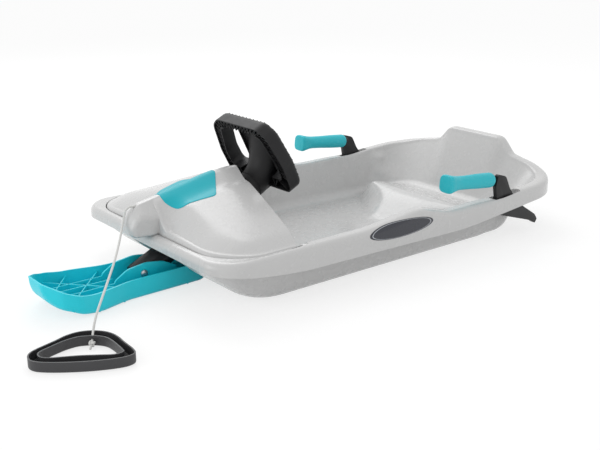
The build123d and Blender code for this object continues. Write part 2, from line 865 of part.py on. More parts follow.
# ---------------------------------------------------------------- pull handle and cord
def handle_point(along, inward, up):
    """World point from the handle's own frame: along its bar, inward to its apex, up."""
    turn = math.radians(handle_turn)
    x = handle_x + along * math.cos(turn) - inward * math.sin(turn)
    y = handle_y + along * math.sin(turn) + inward * math.cos(turn)
    return (x, y, up)


def make_handle():
    body = flat_block(handle_outline, handle_outline_r, 0, 0, handle_height)
    body = body - flat_block(handle_hole, handle_hole_r, 0, -1, handle_height + 1)
    channel = flat_block(handle_outline, handle_outline_r, handle_wall, handle_wall, handle_height + 1)
    channel = channel - flat_block(handle_hole, handle_hole_r, -handle_wall, 0, handle_height + 2)
    body = Pos(handle_x, handle_y, 0) * Rot(0, 0, handle_turn) * (body - channel)
    route = whole_route()
    return body - rod(route[-1], route[-2], cord_hole_r, 14)


def rod(start, end, radius, length):
    """Round bar from start towards end."""
    direction = Vector(*end) - Vector(*start)
    return Plane(origin=start, z_dir=direction) * extrude(Circle(radius), amount=length)


def whole_route():
    """Every point the cord is led through; its bends are rounded afterwards."""
    apex = max(y for x, y in handle_hole)
    middle = handle_point(cord_along, cord_channel_inward, cord_channel_z)
    last = handle_point(cord_along, apex - knot_r - 0.2, cord_end_z)
    return cord_route + [middle, last]


def route_radii(points):
    """Bend radius at each inner point: the arc takes 0.45 of the shorter run beside it."""
    radii = []
    for a, b, c in zip(points, points[1:], points[2:]):
        before = Vector(*b) - Vector(*a)
        after = Vector(*c) - Vector(*b)
        half_turn = math.radians(before.get_angle(after)) / 2
        radii.append(0.45 * min(before.length, after.length) / math.tan(half_turn))
    return radii


def make_cord():
    points = whole_route()
    radii = route_radii(points)
    print("cord radii", [round(r, 1) for r in radii], "diameter", 2 * cord_r)
    runs = [(Vector(*b) - Vector(*a)).length for a, b in zip(points, points[1:])]
    print("cord runs", [round(r, 1) for r in runs])
    path = FilletPolyline(*points, radius=radii)
    start = Plane(origin=points[0], z_dir=Vector(*points[1]) - Vector(*points[0]))
    tube = sweep(start * Circle(cord_r), path=path)
    print("cord length", path.length, "volume ratio", tube.volume / (math.pi * cord_r**2 * path.length))
    return tube


def make_nose_knot(cord):
    return Pos(*whole_route()[0]) * Sphere(knot_r) - cord


def make_handle_knot(cord):
    centre = whole_route()[-1]
    tail = handle_point(cord_along - 3, 65, 2.4)
    length = (Vector(*tail) - Vector(*centre)).length
    return Pos(*centre) * Sphere(knot_r) + rod(centre, tail, knot_tail_r, length) - cord


hull = make_hull()
print("hull", hull.volume, len(hull.solids()))
save("hull", hull)

cord = make_cord()
pieces = {
    "cowl": make_cowl(),
    "cowl_panel": make_cowl_panel(),
    "label_left": make_label(1),
    "label_right": make_label(-1),
    "column_bearing": make_bearing(),
    "steering_wheel": make_wheel(),
    "steering_column": make_column(),
    "ski": make_ski(),
    "ski_bolt": make_bolt(),
    "ski_nut": make_nut(),
    "tow_cord": cord,
    "tow_knot_nose": make_nose_knot(cord),
    "tow_knot_handle": make_handle_knot(cord),
    "pull_handle": make_handle(),
}
for name, side in (("left", 1), ("right", -1)):
    lever = make_lever(side)
    pieces["brake_lever_" + name] = lever
    pieces["brake_grip_" + name] = make_grip(side) - lever
    pieces["brake_pin_" + name] = make_pin(side)
for name, shape in pieces.items():
    box = shape.bounding_box()
    print(name, round(shape.volume), len(shape.solids()), box.min, box.max)
    save(name, shape)
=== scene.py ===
"""Looks of a steerable snow bobsled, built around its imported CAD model.

Every length in this file is in millimetres in the sled's own frame, and make_mesh turns it into metres.
+X points to the ski's tip, +Y to the rider's left and +Z up; the origin is on the ground.
"""

import json
import logging
import math
from collections.abc import Callable, Iterator
from contextlib import contextmanager
from dataclasses import dataclass, field
from enum import Enum
from functools import cache

import bmesh
import bpy
import numpy as np
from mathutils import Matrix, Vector

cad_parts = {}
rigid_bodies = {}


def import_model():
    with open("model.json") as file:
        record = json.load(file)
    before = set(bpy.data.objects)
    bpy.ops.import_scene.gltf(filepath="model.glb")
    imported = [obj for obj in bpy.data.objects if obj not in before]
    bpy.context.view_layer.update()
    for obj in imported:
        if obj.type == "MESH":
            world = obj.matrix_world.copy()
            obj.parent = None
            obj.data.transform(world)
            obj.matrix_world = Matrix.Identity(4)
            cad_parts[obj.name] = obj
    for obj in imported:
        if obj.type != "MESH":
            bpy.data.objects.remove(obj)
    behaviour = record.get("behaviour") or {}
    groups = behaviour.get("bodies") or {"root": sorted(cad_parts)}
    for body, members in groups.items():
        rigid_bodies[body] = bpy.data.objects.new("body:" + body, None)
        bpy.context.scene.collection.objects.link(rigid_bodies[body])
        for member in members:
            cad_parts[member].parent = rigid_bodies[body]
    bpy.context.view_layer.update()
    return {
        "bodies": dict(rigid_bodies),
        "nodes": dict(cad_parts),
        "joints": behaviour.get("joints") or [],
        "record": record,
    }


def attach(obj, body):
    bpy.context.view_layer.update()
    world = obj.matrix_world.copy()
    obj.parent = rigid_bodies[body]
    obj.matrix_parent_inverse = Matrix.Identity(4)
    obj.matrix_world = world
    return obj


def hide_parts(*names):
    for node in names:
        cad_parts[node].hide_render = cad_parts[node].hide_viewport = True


log = logging.getLogger("bobsled")
MM = 0.001
Skin = tuple[np.ndarray, np.ndarray]
Place = Callable[[np.ndarray], np.ndarray]
Colour = tuple[float, float, float]


class Body(str, Enum):
    """The CAD bodies that pieces ride on."""

    SLED = "sled"
    STEERING = "steering"
    BRAKE_LEFT = "brake_left"
    BRAKE_RIGHT = "brake_right"


class Combine(str, Enum):
    """What is done with the second of two shapes."""

    CUT = "DIFFERENCE"
    UNITE = "UNION"
    CROSS = "INTERSECT"


# ------------------------------------------------------------------------------------------ shape tools
def smooth_step(low: float, high: float, value: np.ndarray) -> np.ndarray:
    """Rises from 0 at low to 1 at high, flat at both ends: 3t^2 - 2t^3.

    Args:
        low: Where the rise starts.
        high: Where it ends.
        value: Places to work it out at.

    Returns:
        The height of the step at each place.
    """
    t = np.clip((np.asarray(value, float) - low) / (high - low), 0.0, 1.0)
    return t * t * (3.0 - 2.0 * t)


def fair_curve(knots: list[float], heights: list[float], at: np.ndarray) -> np.ndarray:
    """A fair line through given heights: cubic pieces whose slopes are the means of their neighbours'.

    Args:
        knots: Places of the heights, rising.
        heights: Height at each knot.
        at: Places to work it out at; past the ends the line keeps its end height.

    Returns:
        Height at each place.
    """
    x = np.asarray(knots, float)
    y = np.asarray(heights, float)
    at = np.clip(np.asarray(at, float), x[0], x[-1])
    chord = np.diff(y) / np.diff(x)
    slope = np.concatenate([[chord[0]], (chord[:-1] + chord[1:]) / 2, [chord[-1]]])
    slope[1:-1] = np.where(chord[:-1] * chord[1:] <= 0, 0.0, slope[1:-1])
    k = np.clip(np.searchsorted(x, at) - 1, 0, len(x) - 2)
    width = x[k + 1] - x[k]
    t = (at - x[k]) / width
    rest = 1.0 - t
    ends = y[k] * (1 + 2 * t) * rest**2 + y[k + 1] * t**2 * (3 - 2 * t)
    return ends + width * (slope[k] * t * rest**2 - slope[k + 1] * t**2 * rest)


def rounded_plan(
    rear: float, front: float, half: float, front_r: float, rear_r: float, side_n: int = 96
) -> np.ndarray:
    """Points round a rectangle with rounded corners, anticlockwise from the middle of its front.

    Every call with one side_n gives the same count of points for each edge and corner, so outlines of
    different sizes match point for point.

    Args:
        rear: X of the rear edge.
        front: X of the front edge.
        half: Half the width.
        front_r: Radius of the two front corners.
        rear_r: Radius of the two rear corners.
        side_n: Points along each side.

    Returns:
        Array (n, 2) of x, y.
    """
    end_n = side_n // 3
    corner_n = side_n // 6
    y_front = half - front_r
    y_rear = half - rear_r
    edge = np.linspace(0.0, 1.0, end_n, endpoint=False)
    side = np.linspace(0.0, 1.0, side_n, endpoint=False)
    turn = np.linspace(0.0, math.pi / 2, corner_n, endpoint=False)
    front_half = np.stack([np.full(end_n, front), edge * y_front], 1)
    front_corner = np.stack(
        [front - front_r + front_r * np.cos(turn), y_front + front_r * np.sin(turn)], 1
    )
    x_side = (front - front_r) + side * ((rear + rear_r) - (front - front_r))
    left = np.stack([x_side, np.full(side_n, half)], 1)
    rear_corner = np.stack(
        [rear + rear_r - rear_r * np.sin(turn), y_rear + rear_r * np.cos(turn)], 1
    )
    rear_half = np.stack([np.full(end_n + 1, rear), np.linspace(y_rear, 0.0, end_n + 1)], 1)
    walk = np.concatenate([front_half, front_corner, left, rear_corner, rear_half])
    back = walk[1:-1][::-1] * np.array([1.0, -1.0])
    return np.concatenate([walk, back])


def rounded_loop(corners: np.ndarray, radii: list[float], arc_n: int = 8, run_n: int = 6) -> np.ndarray:
    """A closed outline of straight runs joined by arcs.

    Args:
        corners: Array (n, 2) of the sharp corners in order.
        radii: Arc radius at each corner.
        arc_n: Points on each arc.
        run_n: Points on each straight run.

    Returns:
        Array (m, 2) of points, without the first one repeated.
    """
    corners = np.asarray(corners, float)
    before = np.roll(corners, 1, 0) - corners
    after = np.roll(corners, -1, 0) - corners
    before /= np.linalg.norm(before, axis=1)[:, None]
    after /= np.linalg.norm(after, axis=1)[:, None]
    half = np.arccos(np.clip((before * after).sum(1), -1, 1)) / 2
    reach = np.asarray(radii, float) / np.tan(half)
    start = corners + before * reach[:, None]
    end = corners + after * reach[:, None]
    t = np.linspace(0.0, 1.0, arc_n)[None, :, None]
    weight = np.sin(half)[:, None, None]
    top = (
        (1 - t) ** 2 * start[:, None] + 2 * t * (1 - t) * weight * corners[:, None] + t**2 * end[:, None]
    )
    arcs = top / ((1 - t) ** 2 + 2 * t * (1 - t) * weight + t**2)
    s = np.linspace(0.0, 1.0, run_n + 2)[1:-1][None, :, None]
    runs = end[:, None] * (1 - s) + np.roll(start, -1, 0)[:, None] * s
    return np.concatenate([arcs, runs], 1).reshape(-1, 2)


def grid_faces(rows: int, cols: int, close_rows: bool, close_cols: bool) -> np.ndarray:
    """Four-cornered faces of a grid of points stored row by row.

    Args:
        rows: Rows of points.
        cols: Points in each row.
        close_rows: Whether the last row joins the first.
        close_cols: Whether each row's last point joins its first.

    Returns:
        Array (faces, 4) of point numbers.
    """
    i = np.arange(rows if close_rows else rows - 1)
    j = np.arange(cols if close_cols else cols - 1)
    i, j = np.meshgrid(i, j, indexing="ij")
    i2 = (i + 1) % rows
    j2 = (j + 1) % cols
    return np.stack([i * cols + j, i2 * cols + j, i2 * cols + j2, i * cols + j2], -1).reshape(-1, 4)


def at_height(plan: np.ndarray, height: float | np.ndarray) -> np.ndarray:
    """Points (n, 3) of a plan (n, 2) at one height, or at one for each point."""
    return np.column_stack([plan, np.broadcast_to(height, len(plan))])


def middle_line(plan: np.ndarray, low: float, high: float) -> np.ndarray:
    """Each point of a plan moved to y = 0, with its x held between two values."""
    return np.column_stack([np.clip(plan[:, 0], low, high), np.zeros(len(plan))])


def quarter_turn(count: int) -> list[tuple[float, float]]:
    """Steps of a quarter circle: how far it has bent in, 1 - cos, and how far it is from its end, 1 - sin."""
    return [(1 - math.cos(turn), 1 - math.sin(turn)) for turn in np.linspace(0, math.pi / 2, count)]


def drawn_in(start: np.ndarray, end: np.ndarray, shares: np.ndarray, height: Callable) -> list[np.ndarray]:
    """Rows that go straight from one plan to another, each point at the height of its own x and y.

    Args:
        start: Array (n, 2).
        end: Array (n, 2), matched point for point.
        shares: How far each row has gone, 0 to 1.
        height: Function of x and y.

    Returns:
        Arrays (n, 3), one for each share.
    """
    plans = [start + (end - start) * share for share in shares]
    return [at_height(plan, height(plan[:, 0], plan[:, 1])) for plan in plans]


def upright(local: np.ndarray) -> np.ndarray:
    """Takes local points (x, z, y) to (x, y, z)."""
    return np.asarray(local, float).reshape(-1, 3)[:, [0, 2, 1]]


def level(local: np.ndarray) -> np.ndarray:
    """Takes local points (x, y, z) to themselves."""
    return np.asarray(local, float).reshape(-1, 3)


# ------------------------------------------------------------------------------------------ meshes
@contextmanager
def edited(data: bpy.types.Mesh) -> Iterator[bmesh.types.BMesh]:
    """Opens a mesh for editing and writes it back.

    Args:
        data: The mesh.

    Yields:
        The open mesh, inside a with statement.
    """
    shape = bmesh.new()
    shape.from_mesh(data)
    yield shape
    shape.to_mesh(data)
    shape.free()


def linked(name: str, data: bpy.types.ID) -> bpy.types.Object:
    """A new object at the origin, in the scene.

    Args:
        name: Its name.
        data: Its mesh, curve, light or camera.

    Returns:
        The new object.
    """
    obj = bpy.data.objects.new(name, data)
    bpy.context.scene.collection.objects.link(obj)
    return obj


def make_mesh(name: str, parts: list[Skin], weld: float = 0.02) -> bpy.types.Object:
    """One mesh object from several point and face arrays.

    Args:
        name: The piece's name.
        parts: Pairs of points (n, 3) in millimetres and faces (m, 4) or (m, 3).
        weld: Points nearer than this, in millimetres, become one.

    Returns:
        The new object, at the origin.
    """
    points = np.concatenate([p.reshape(-1, 3) for p, _ in parts]) * MM
    faces = []
    offset = 0
    for p, f in parts:
        faces += (np.asarray(f) + offset).tolist()
        offset += len(p.reshape(-1, 3))
    data = bpy.data.meshes.new(name)
    data.from_pydata(points.tolist(), [], faces)
    with edited(data) as shape:
        bmesh.ops.remove_doubles(shape, verts=shape.verts, dist=weld * MM)
        bmesh.ops.dissolve_degenerate(shape, dist=weld * MM / 2, edges=shape.edges)
    return linked(name, data)


def make_grid(
    name: str, rows: np.ndarray, place: Place = level, ring: bool = True, flip: bool = False,
    weld: float = 0.02,
) -> bpy.types.Object:
    """One mesh object from rows of points.

    Args:
        name: The piece's name.
        rows: Array (rows, columns, 3).
        place: Function from local points to the sled's frame.
        ring: Whether each row's last point joins its first.
        flip: Whether the faces are turned over.
        weld: Points nearer than this, in millimetres, become one.

    Returns:
        The new object.
    """
    faces = grid_faces(*rows.shape[:2], False, ring)
    return make_mesh(name, [(place(rows), faces[:, ::-1] if flip else faces)], weld)


def make_solid(name: str, skin: Skin) -> bpy.types.Object:
    """A closed mesh from one skin, its faces turned outwards.

    Args:
        name: Its name.
        skin: Points and faces.

    Returns:
        The new object.
    """
    made = make_mesh(name, [skin])
    face_outward(made)
    return made


def make_rod(axis: "Axis", radius: float, low: float, high: float, around: int) -> bpy.types.Object:
    """A round bar about an axis, from low to high along it, for cutting bores."""
    line = [(0, low), (radius, low), (radius, high), (0, high)]
    return make_solid("bore", turned(line, axis, around, False))


def face_outward(obj: bpy.types.Object) -> None:
    """Turns every face of a closed mesh outwards."""
    with edited(obj.data) as shape:
        bmesh.ops.recalc_face_normals(shape, faces=shape.faces)


def close_ends(obj: bpy.types.Object) -> None:
    """Fills the open ends of a shape with flat faces."""
    with edited(obj.data) as shape:
        bmesh.ops.holes_fill(shape, edges=shape.edges, sides=0)


def bake(obj: bpy.types.Object, crease: float = 35.0) -> None:
    """Applies the object's modifiers and shades it smooth up to an angle.

    Args:
        obj: The object.
        crease: Edges that turn more than this many degrees stay sharp.
    """
    graph = bpy.context.evaluated_depsgraph_get()
    done = bpy.data.meshes.new_from_object(obj.evaluated_get(graph))
    obj.modifiers.clear()
    obj.data = done
    obj.data.name = obj.name
    obj.data.shade_smooth()
    obj.data.set_sharp_from_angle(angle=math.radians(crease))


def thicken(obj: bpy.types.Object, wall: float) -> None:
    """Gives an open sheet a wall behind its faces, in millimetres.

    Args:
        obj: The object.
        wall: The wall's thickness.
    """
    solid = obj.modifiers.new("wall", "SOLIDIFY")
    solid.thickness = wall * MM
    solid.offset = -1.0
    solid.use_quality_normals = True


def combine(obj: bpy.types.Object, other: bpy.types.Object, how: Combine) -> None:
    """Cuts, unites or crosses an object with another one and removes the other.

    Args:
        obj: The object that is kept.
        other: The object that is used up.
        how: What is done with it.
    """
    tool = obj.modifiers.new("combine", "BOOLEAN")
    tool.operation = how.value
    tool.solver = "EXACT"
    tool.object = other
    bpy.context.view_layer.update()
    bake(obj)
    bpy.data.objects.remove(other)


def cut(obj: bpy.types.Object, cutter: bpy.types.Object) -> None:
    """Takes the cutter's shape out of the object and removes the cutter."""
    combine(obj, cutter, Combine.CUT)


def bevel_edges(obj: bpy.types.Object, width: float, segments: int = 2) -> None:
    """Rounds the object's sharp edges by a width in millimetres.

    Args:
        obj: The object.
        width: How far each edge is cut back.
        segments: Faces across each rounded edge.
    """
    edge = obj.modifiers.new("edge", "BEVEL")
    edge.width = width * MM
    edge.segments = segments
    edge.limit_method = "ANGLE"
    edge.angle_limit = math.radians(35)


def make_plate(name: str, outline: np.ndarray, low: float, high: float, place: Place) -> bpy.types.Object:
    """A flat plate from a closed outline.

    Args:
        name: The piece's name.
        outline: Array (n, 2) of the plate's own two axes.
        low: One face's place along the third axis.
        high: The other face's place.
        place: Function from (n, 3) local points to (n, 3) points in the sled's frame.

    Returns:
        The new object.
    """
    n = len(outline)
    points = place(np.concatenate([at_height(outline, low), at_height(outline, high)])) * MM
    i = np.arange(n)
    j = (i + 1) % n
    faces = np.stack([i, j, j + n, i + n], 1).tolist()
    faces += [list(range(n))[::-1], list(range(n, 2 * n))]
    data = bpy.data.meshes.new(name)
    data.from_pydata(points.tolist(), [], faces)
    obj = linked(name, data)
    face_outward(obj)
    return obj


def join(target: bpy.types.Object, others: list[bpy.types.Object]) -> None:
    """Adds the meshes of other objects to the target's and removes them.

    Args:
        target: The object that is kept.
        others: The objects that are used up.
    """
    with edited(target.data) as shape:
        for other in others:
            shape.from_mesh(other.data)
    for other in others:
        bpy.data.objects.remove(other)


def finish_piece(
    obj: bpy.types.Object, body: Body, finish: "Finish", slot: str, *nodes: str
) -> None:
    """Dresses a piece, sets it on its body and hides the CAD nodes that it replaces.

    Args:
        obj: The piece.
        body: The CAD body that it rides on.
        finish: Its finish.
        slot: The record's material slot; not used.
        *nodes: CAD nodes that it replaces.
    """
    obj.data.materials.clear()
    obj.data.materials.append(finish.material())
    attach(obj, body.value)
    if nodes:
        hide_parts(*nodes)
    log.info("%s: %d points", obj.name, len(obj.data.vertices) if obj.type == "MESH" else 0)


def tube(path: np.ndarray, radius: np.ndarray, around: int = 16) -> Skin:
    """A round skin carried along a path, its frame turned as little as possible from point to point.

    Args:
        path: Array (n, 3) of centre points.
        radius: Radius at each point.
        around: Points round the skin.

    Returns:
        Points (n * around, 3) and faces.
    """
    tangent = np.gradient(path, axis=0)
    tangent /= np.linalg.norm(tangent, axis=1)[:, None]
    guide = np.array([0.0, 0.0, 1.0]) if abs(tangent[0][2]) < 0.9 else np.array([0.0, 1.0, 0.0])
    sides = np.zeros_like(path)
    for k, t in enumerate(tangent):
        guide = guide - t * guide.dot(t)
        guide /= np.linalg.norm(guide)
        sides[k] = guide
    other = np.cross(tangent, sides)
    angle = np.linspace(0, 2 * math.pi, around, endpoint=False)
    ring = np.cos(angle)[None, :, None] * sides[:, None] + np.sin(angle)[None, :, None] * other[:, None]
    points = path[:, None] + ring * np.asarray(radius)[:, None, None]
    return points.reshape(-1, 3), grid_faces(len(path), around, False, True)


# ------------------------------------------------------------------------------------------ finishes
@dataclass(frozen=True)
class Nodes:
    """A node tree, with a method for each kind of node that the finishes and the studio use."""

    tree: bpy.types.NodeTree

    def fill(self, node: bpy.types.Node, inputs: dict) -> bpy.types.Node:
        """Links a node's inputs to sockets or sets them to plain values, and returns the node.

        Args:
            node: The node.
            inputs: Sockets or plain values, by input.

        Returns:
            The node.
        """
        for key, value in inputs.items():
            if isinstance(value, bpy.types.NodeSocket):
                self.tree.links.new(value, node.inputs[key])
            else:
                node.inputs[key].default_value = value
        return node

    def add(self, kind: str, output: str, inputs: dict, **settings: str) -> bpy.types.NodeSocket:
        """Adds a node.

        Args:
            kind: The node's kind, without its prefix.
            output: The output that is wanted.
            inputs: Sockets or plain values for its inputs.
            **settings: The node's own settings, made before its inputs are filled.

        Returns:
            The output's socket.
        """
        node = self.tree.nodes.new("ShaderNode" + kind)
        for key, value in settings.items():
            setattr(node, key, value)
        return self.fill(node, inputs).outputs[output]

    def noise(self, scale: float, detail: float) -> bpy.types.NodeSocket:
        """A noise on the piece's own coordinates: cells per metre, and octaves."""
        place = self.add("TexCoord", "Object", {})
        return self.add("TexNoise", "Fac", {"Scale": scale, "Detail": detail, "Vector": place})

    def mix(self, factor: bpy.types.NodeSocket, first: object, second: object) -> bpy.types.NodeSocket:
        """Mixes two colours, each a socket or three numbers."""
        ends = [(*end, 1.0) if isinstance(end, tuple) else end for end in (first, second)]
        return self.add("Mix", "Result", {"Factor": factor, "A": ends[0], "B": ends[1]}, data_type="RGBA")

    def spread(self, value: bpy.types.NodeSocket, low: float, high: float) -> bpy.types.NodeSocket:
        """Takes 0 to 1 to the span from low to high."""
        return self.add("MapRange", "Result", {"Value": value, "To Min": low, "To Max": high})

    def math(self, how: str, first: bpy.types.NodeSocket, second: object) -> bpy.types.NodeSocket:
        """Works out a sum of two values, the second a socket or a number."""
        return self.add("Math", "Value", {0: first, 1: second}, operation=how)

    def bump(
        self, height: bpy.types.NodeSocket, strength: float, distance: float, under: dict | None = None
    ) -> bpy.types.NodeSocket:
        """A bump of a strength and a distance in metres, over another one where under holds its Normal."""
        inputs = {"Height": height, "Strength": strength, "Distance": distance, **(under or {})}
        return self.add("Bump", "Normal", inputs)


def painted(name: str, dress: Callable[[Nodes], dict]) -> bpy.types.Material:
    """A new node material.

    Args:
        name: Its name.
        dress: Function from its nodes to the shader's inputs.

    Returns:
        The material.
    """
    made = bpy.data.materials.new(name)
    made.use_nodes = True
    nodes = Nodes(made.node_tree)
    nodes.fill(made.node_tree.nodes["Principled BSDF"], dress(nodes))
    return made


@dataclass(frozen=True)
class MouldedPlastic:
    """A moulded plastic: its colour drifts a little, its skin has a faint ripple and fine grain."""

    name: str
    colour: Colour
    roughness: float = 0.3
    drift: float = 0.04
    grain: float = 0.1
    grain_scale: float = 900.0
    ripple: float = 0.02
    speckle: float = 0.0
    coat: float = 0.0
    gloss: float = 0.5
    fleck_colour: Colour = (0.65, 0.82, 0.85)

    def dress(self, nodes: Nodes) -> dict:
        """Builds the plastic's nodes and returns the shader's inputs.

        Args:
            nodes: The material's nodes.

        Returns:
            The shader's inputs.
        """
        dark = tuple(c * (1 - self.drift) for c in self.colour)
        pale = tuple(min(c * (1 + self.drift), 1.0) for c in self.colour)
        colour = nodes.mix(nodes.noise(9.0, 3.0), dark, pale)
        if self.speckle > 0:
            spots = {"From Min": 0.58, "From Max": 0.72, "Value": nodes.noise(520.0, 1.0)}
            fleck = nodes.math("MULTIPLY", nodes.add("MapRange", "Result", spots), self.speckle)
            colour = nodes.mix(fleck, colour, self.fleck_colour)
        low, high = max(self.roughness - 0.05, 0.02), self.roughness + 0.07
        swell = nodes.bump(nodes.noise(26.0, 1.0), self.ripple, 0.004)
        return {
            "Base Color": colour,
            "Roughness": nodes.spread(nodes.noise(45.0, 4.0), low, high),
            "Normal": nodes.bump(nodes.noise(self.grain_scale, 2.0), self.grain, 0.0002, {"Normal": swell}),
            "Specular IOR Level": self.gloss,
            "Coat Weight": self.coat,
            "Coat Roughness": 0.12,
        }


@dataclass(frozen=True)
class PlatedSteel:
    """Zinc-plated steel with fine turning marks."""

    name: str
    roughness: float = 0.32
    dark: Colour = (0.42, 0.42, 0.44)
    pale: Colour = (0.62, 0.62, 0.63)

    def dress(self, nodes: Nodes) -> dict:
        """Builds the steel's nodes and returns the shader's inputs.

        Args:
            nodes: The material's nodes.

        Returns:
            The shader's inputs.
        """
        cloud = nodes.noise(300.0, 4.0)
        rough = nodes.spread(cloud, self.roughness - 0.08, self.roughness + 0.1)
        return {"Metallic": 1.0, "Base Color": nodes.mix(cloud, self.dark, self.pale), "Roughness": rough}


@dataclass(frozen=True)
class LaidCord:
    """White laid cord: fine fibres run along each strand."""

    name: str
    colour: Colour = (0.74, 0.74, 0.72)
    shade: float = 0.86

    def dress(self, nodes: Nodes) -> dict:
        """Builds the cord's nodes and returns the shader's inputs.

        Args:
            nodes: The material's nodes.

        Returns:
            The shader's inputs.
        """
        fibre = nodes.noise(1600.0, 3.0)
        return {
            "Roughness": 0.75,
            "Sheen Weight": 0.3,
            "Base Color": nodes.mix(fibre, tuple(c * self.shade for c in self.colour), self.colour),
            "Normal": nodes.bump(fibre, 0.4, 0.0003),
        }


class Finish(Enum):
    """The sled's finishes."""

    SHELL = MouldedPlastic("shell_white_plastic", (0.58, 0.58, 0.578), 0.26, 0.012, 0.06, coat=0.2)
    # The ski's and the panel's cyans are one plastic painted at two brightnesses: the ski's paler, as painted
    # light on its shaded inside, and the panel's darker, as painted shade against the top light that falls on
    # it.
    SKI = MouldedPlastic("ski_cyan_plastic", (0.012, 0.66, 0.78), 0.38, 0.04, 0.08, gloss=0.4)
    PANEL = MouldedPlastic("panel_cyan_plastic", (0.010, 0.44, 0.52), 0.4, 0.03, 0.06, gloss=0.3)
    GRIP = MouldedPlastic("grip_cyan_plastic", (0.012, 0.50, 0.58), 0.5, 0.05, 0.3, 700, speckle=0.1)
    WHEEL = MouldedPlastic(
        "wheel_charcoal_plastic", (0.008, 0.008, 0.009), 0.5, 0.08, 0.3, 1100, gloss=0.35
    )
    BLACK = MouldedPlastic("black_plastic", (0.010, 0.010, 0.011), 0.42, 0.1, 0.25, 1100, gloss=0.4)
    HANDLE = MouldedPlastic("handle_charcoal_plastic", (0.042, 0.042, 0.045), 0.42, 0.08, 0.3, 1000)
    NAVY = MouldedPlastic("label_navy_film", (0.008, 0.010, 0.022), 0.25, 0.05, 0.02, coat=0.4)
    LINE = MouldedPlastic("label_line_film", (0.45, 0.47, 0.5), 0.3, 0.02, 0.02)
    STEEL = PlatedSteel("zinc_plated_steel")
    CORD = LaidCord("white_laid_cord")

    @cache
    def material(self) -> bpy.types.Material:
        """The finish's material, made when it is first asked for."""
        return painted(self.value.name, self.value.dress)


# ------------------------------------------------------------------------------------------ more shapes
@dataclass(frozen=True)
class Axis:
    """A place and a direction that turned and flat pieces are built on."""

    origin: tuple[float, float, float]
    along: tuple[float, float, float]
    up: tuple[float, float, float] = (0.0, 0.0, 1.0)

    def place(self, local: np.ndarray) -> np.ndarray:
        """Takes local points (side, up, along) to the sled's frame; the side is up x along.

        Args:
            local: Array (n, 3).

        Returns:
            Array (n, 3).
        """
        axis = np.asarray(self.along, float)
        axis = axis / np.linalg.norm(axis)
        rise = np.asarray(self.up, float)
        rise = rise - axis * rise.dot(axis)
        rise = rise / np.linalg.norm(rise)
        side = np.cross(rise, axis)
        local = np.asarray(local, float).reshape(-1, 3)
        return np.asarray(self.origin, float) + local @ np.stack([side, rise, axis])


def turned(profile: list, axis: Axis, around: int = 64, ring: bool = True) -> Skin:
    """A turned skin: each profile point (radius, along) makes a circle about the axis.

    Args:
        profile: Points (radius, along).
        axis: What it is turned about.
        around: Points round each circle.
        ring: Whether the profile is closed, as on a bushing.

    Returns:
        Points and faces.
    """
    line = np.asarray(profile, float)
    angle = np.linspace(0, 2 * math.pi, around, endpoint=False)
    side = line[:, :1] * np.cos(angle)
    rise = line[:, :1] * np.sin(angle)
    reach = np.broadcast_to(line[:, 1:], side.shape)
    points = axis.place(np.stack([side, rise, reach], -1))
    return points, grid_faces(len(line), around, ring, True)


def evened(loop: np.ndarray, count: int) -> np.ndarray:
    """Points spaced evenly along a closed outline, from its first point.

    Args:
        loop: Array (n, 2).
        count: How many points to return.

    Returns:
        Array (count, 2).
    """
    closed = np.concatenate([loop, loop[:1]])
    run = np.concatenate([[0.0], np.cumsum(np.linalg.norm(np.diff(closed, axis=0), axis=1))])
    at = np.linspace(0.0, run[-1], count, endpoint=False)
    return np.stack([np.interp(at, run, closed[:, 0]), np.interp(at, run, closed[:, 1])], 1)


def evened_halves(loop: np.ndarray, count: int) -> np.ndarray:
    """Points spaced evenly along each half of an outline that is the same on both sides of y = 0.

    Args:
        loop: Array (n, 2), anticlockwise.
        count: How many points each half has.

    Returns:
        Array (2 * count - 2, 2), from the front's middle; right and left match exactly.
    """
    start = np.flatnonzero((loop[:, 1] > 0) & (np.roll(loop[:, 1], 1) <= 0))[0]
    rolled = np.roll(loop, -start, 0)
    left = rolled[rolled[:, 1] > 0]
    first = [[left[0, 0], 0.0]]
    last = [[left[-1, 0], 0.0]]
    line = np.concatenate([first, left, last])
    run = np.concatenate([[0.0], np.cumsum(np.linalg.norm(np.diff(line, axis=0), axis=1))])
    at = np.linspace(0.0, run[-1], count)
    half = np.stack([np.interp(at, run, line[:, 0]), np.interp(at, run, line[:, 1])], 1)
    return np.concatenate([half, half[1:-1][::-1] * np.array([1.0, -1.0])])


def fair_loop(points: list, steps: int = 16) -> np.ndarray:
    """A smooth closed outline through given points: cubic pieces whose slopes span their neighbours.

    Args:
        points: Points (x, y) in order round the outline.
        steps: Points on each piece.

    Returns:
        Array (n, 2).
    """
    p = np.asarray(points, float)
    slope = (np.roll(p, -1, 0) - np.roll(p, 1, 0)) / 2
    t = np.linspace(0, 1, steps, endpoint=False)[None, :, None]
    start, end = p[:, None], np.roll(p, -1, 0)[:, None]
    out, back = slope[:, None], np.roll(slope, -1, 0)[:, None]
    line = start * (1 + 2 * t) * (1 - t) ** 2 + end * t**2 * (3 - 2 * t)
    return (line + out * t * (1 - t) ** 2 - back * t**2 * (1 - t)).reshape(-1, 2)


def moved_left(loop: np.ndarray, distance: float | np.ndarray) -> np.ndarray:
    """A closed outline with each point moved square to it, to the left of its direction.

    Args:
        loop: Array (n, 2); anticlockwise outlines move inwards.
        distance: One distance, or one for each point.

    Returns:
        Array (n, 2).
    """
    run = np.roll(loop, -1, 0) - np.roll(loop, 1, 0)
    run = run / np.maximum(np.linalg.norm(run, axis=1), 1e-9)[:, None]
    left = np.stack([-run[:, 1], run[:, 0]], 1)
    return loop + left * np.reshape(distance, (-1, 1))


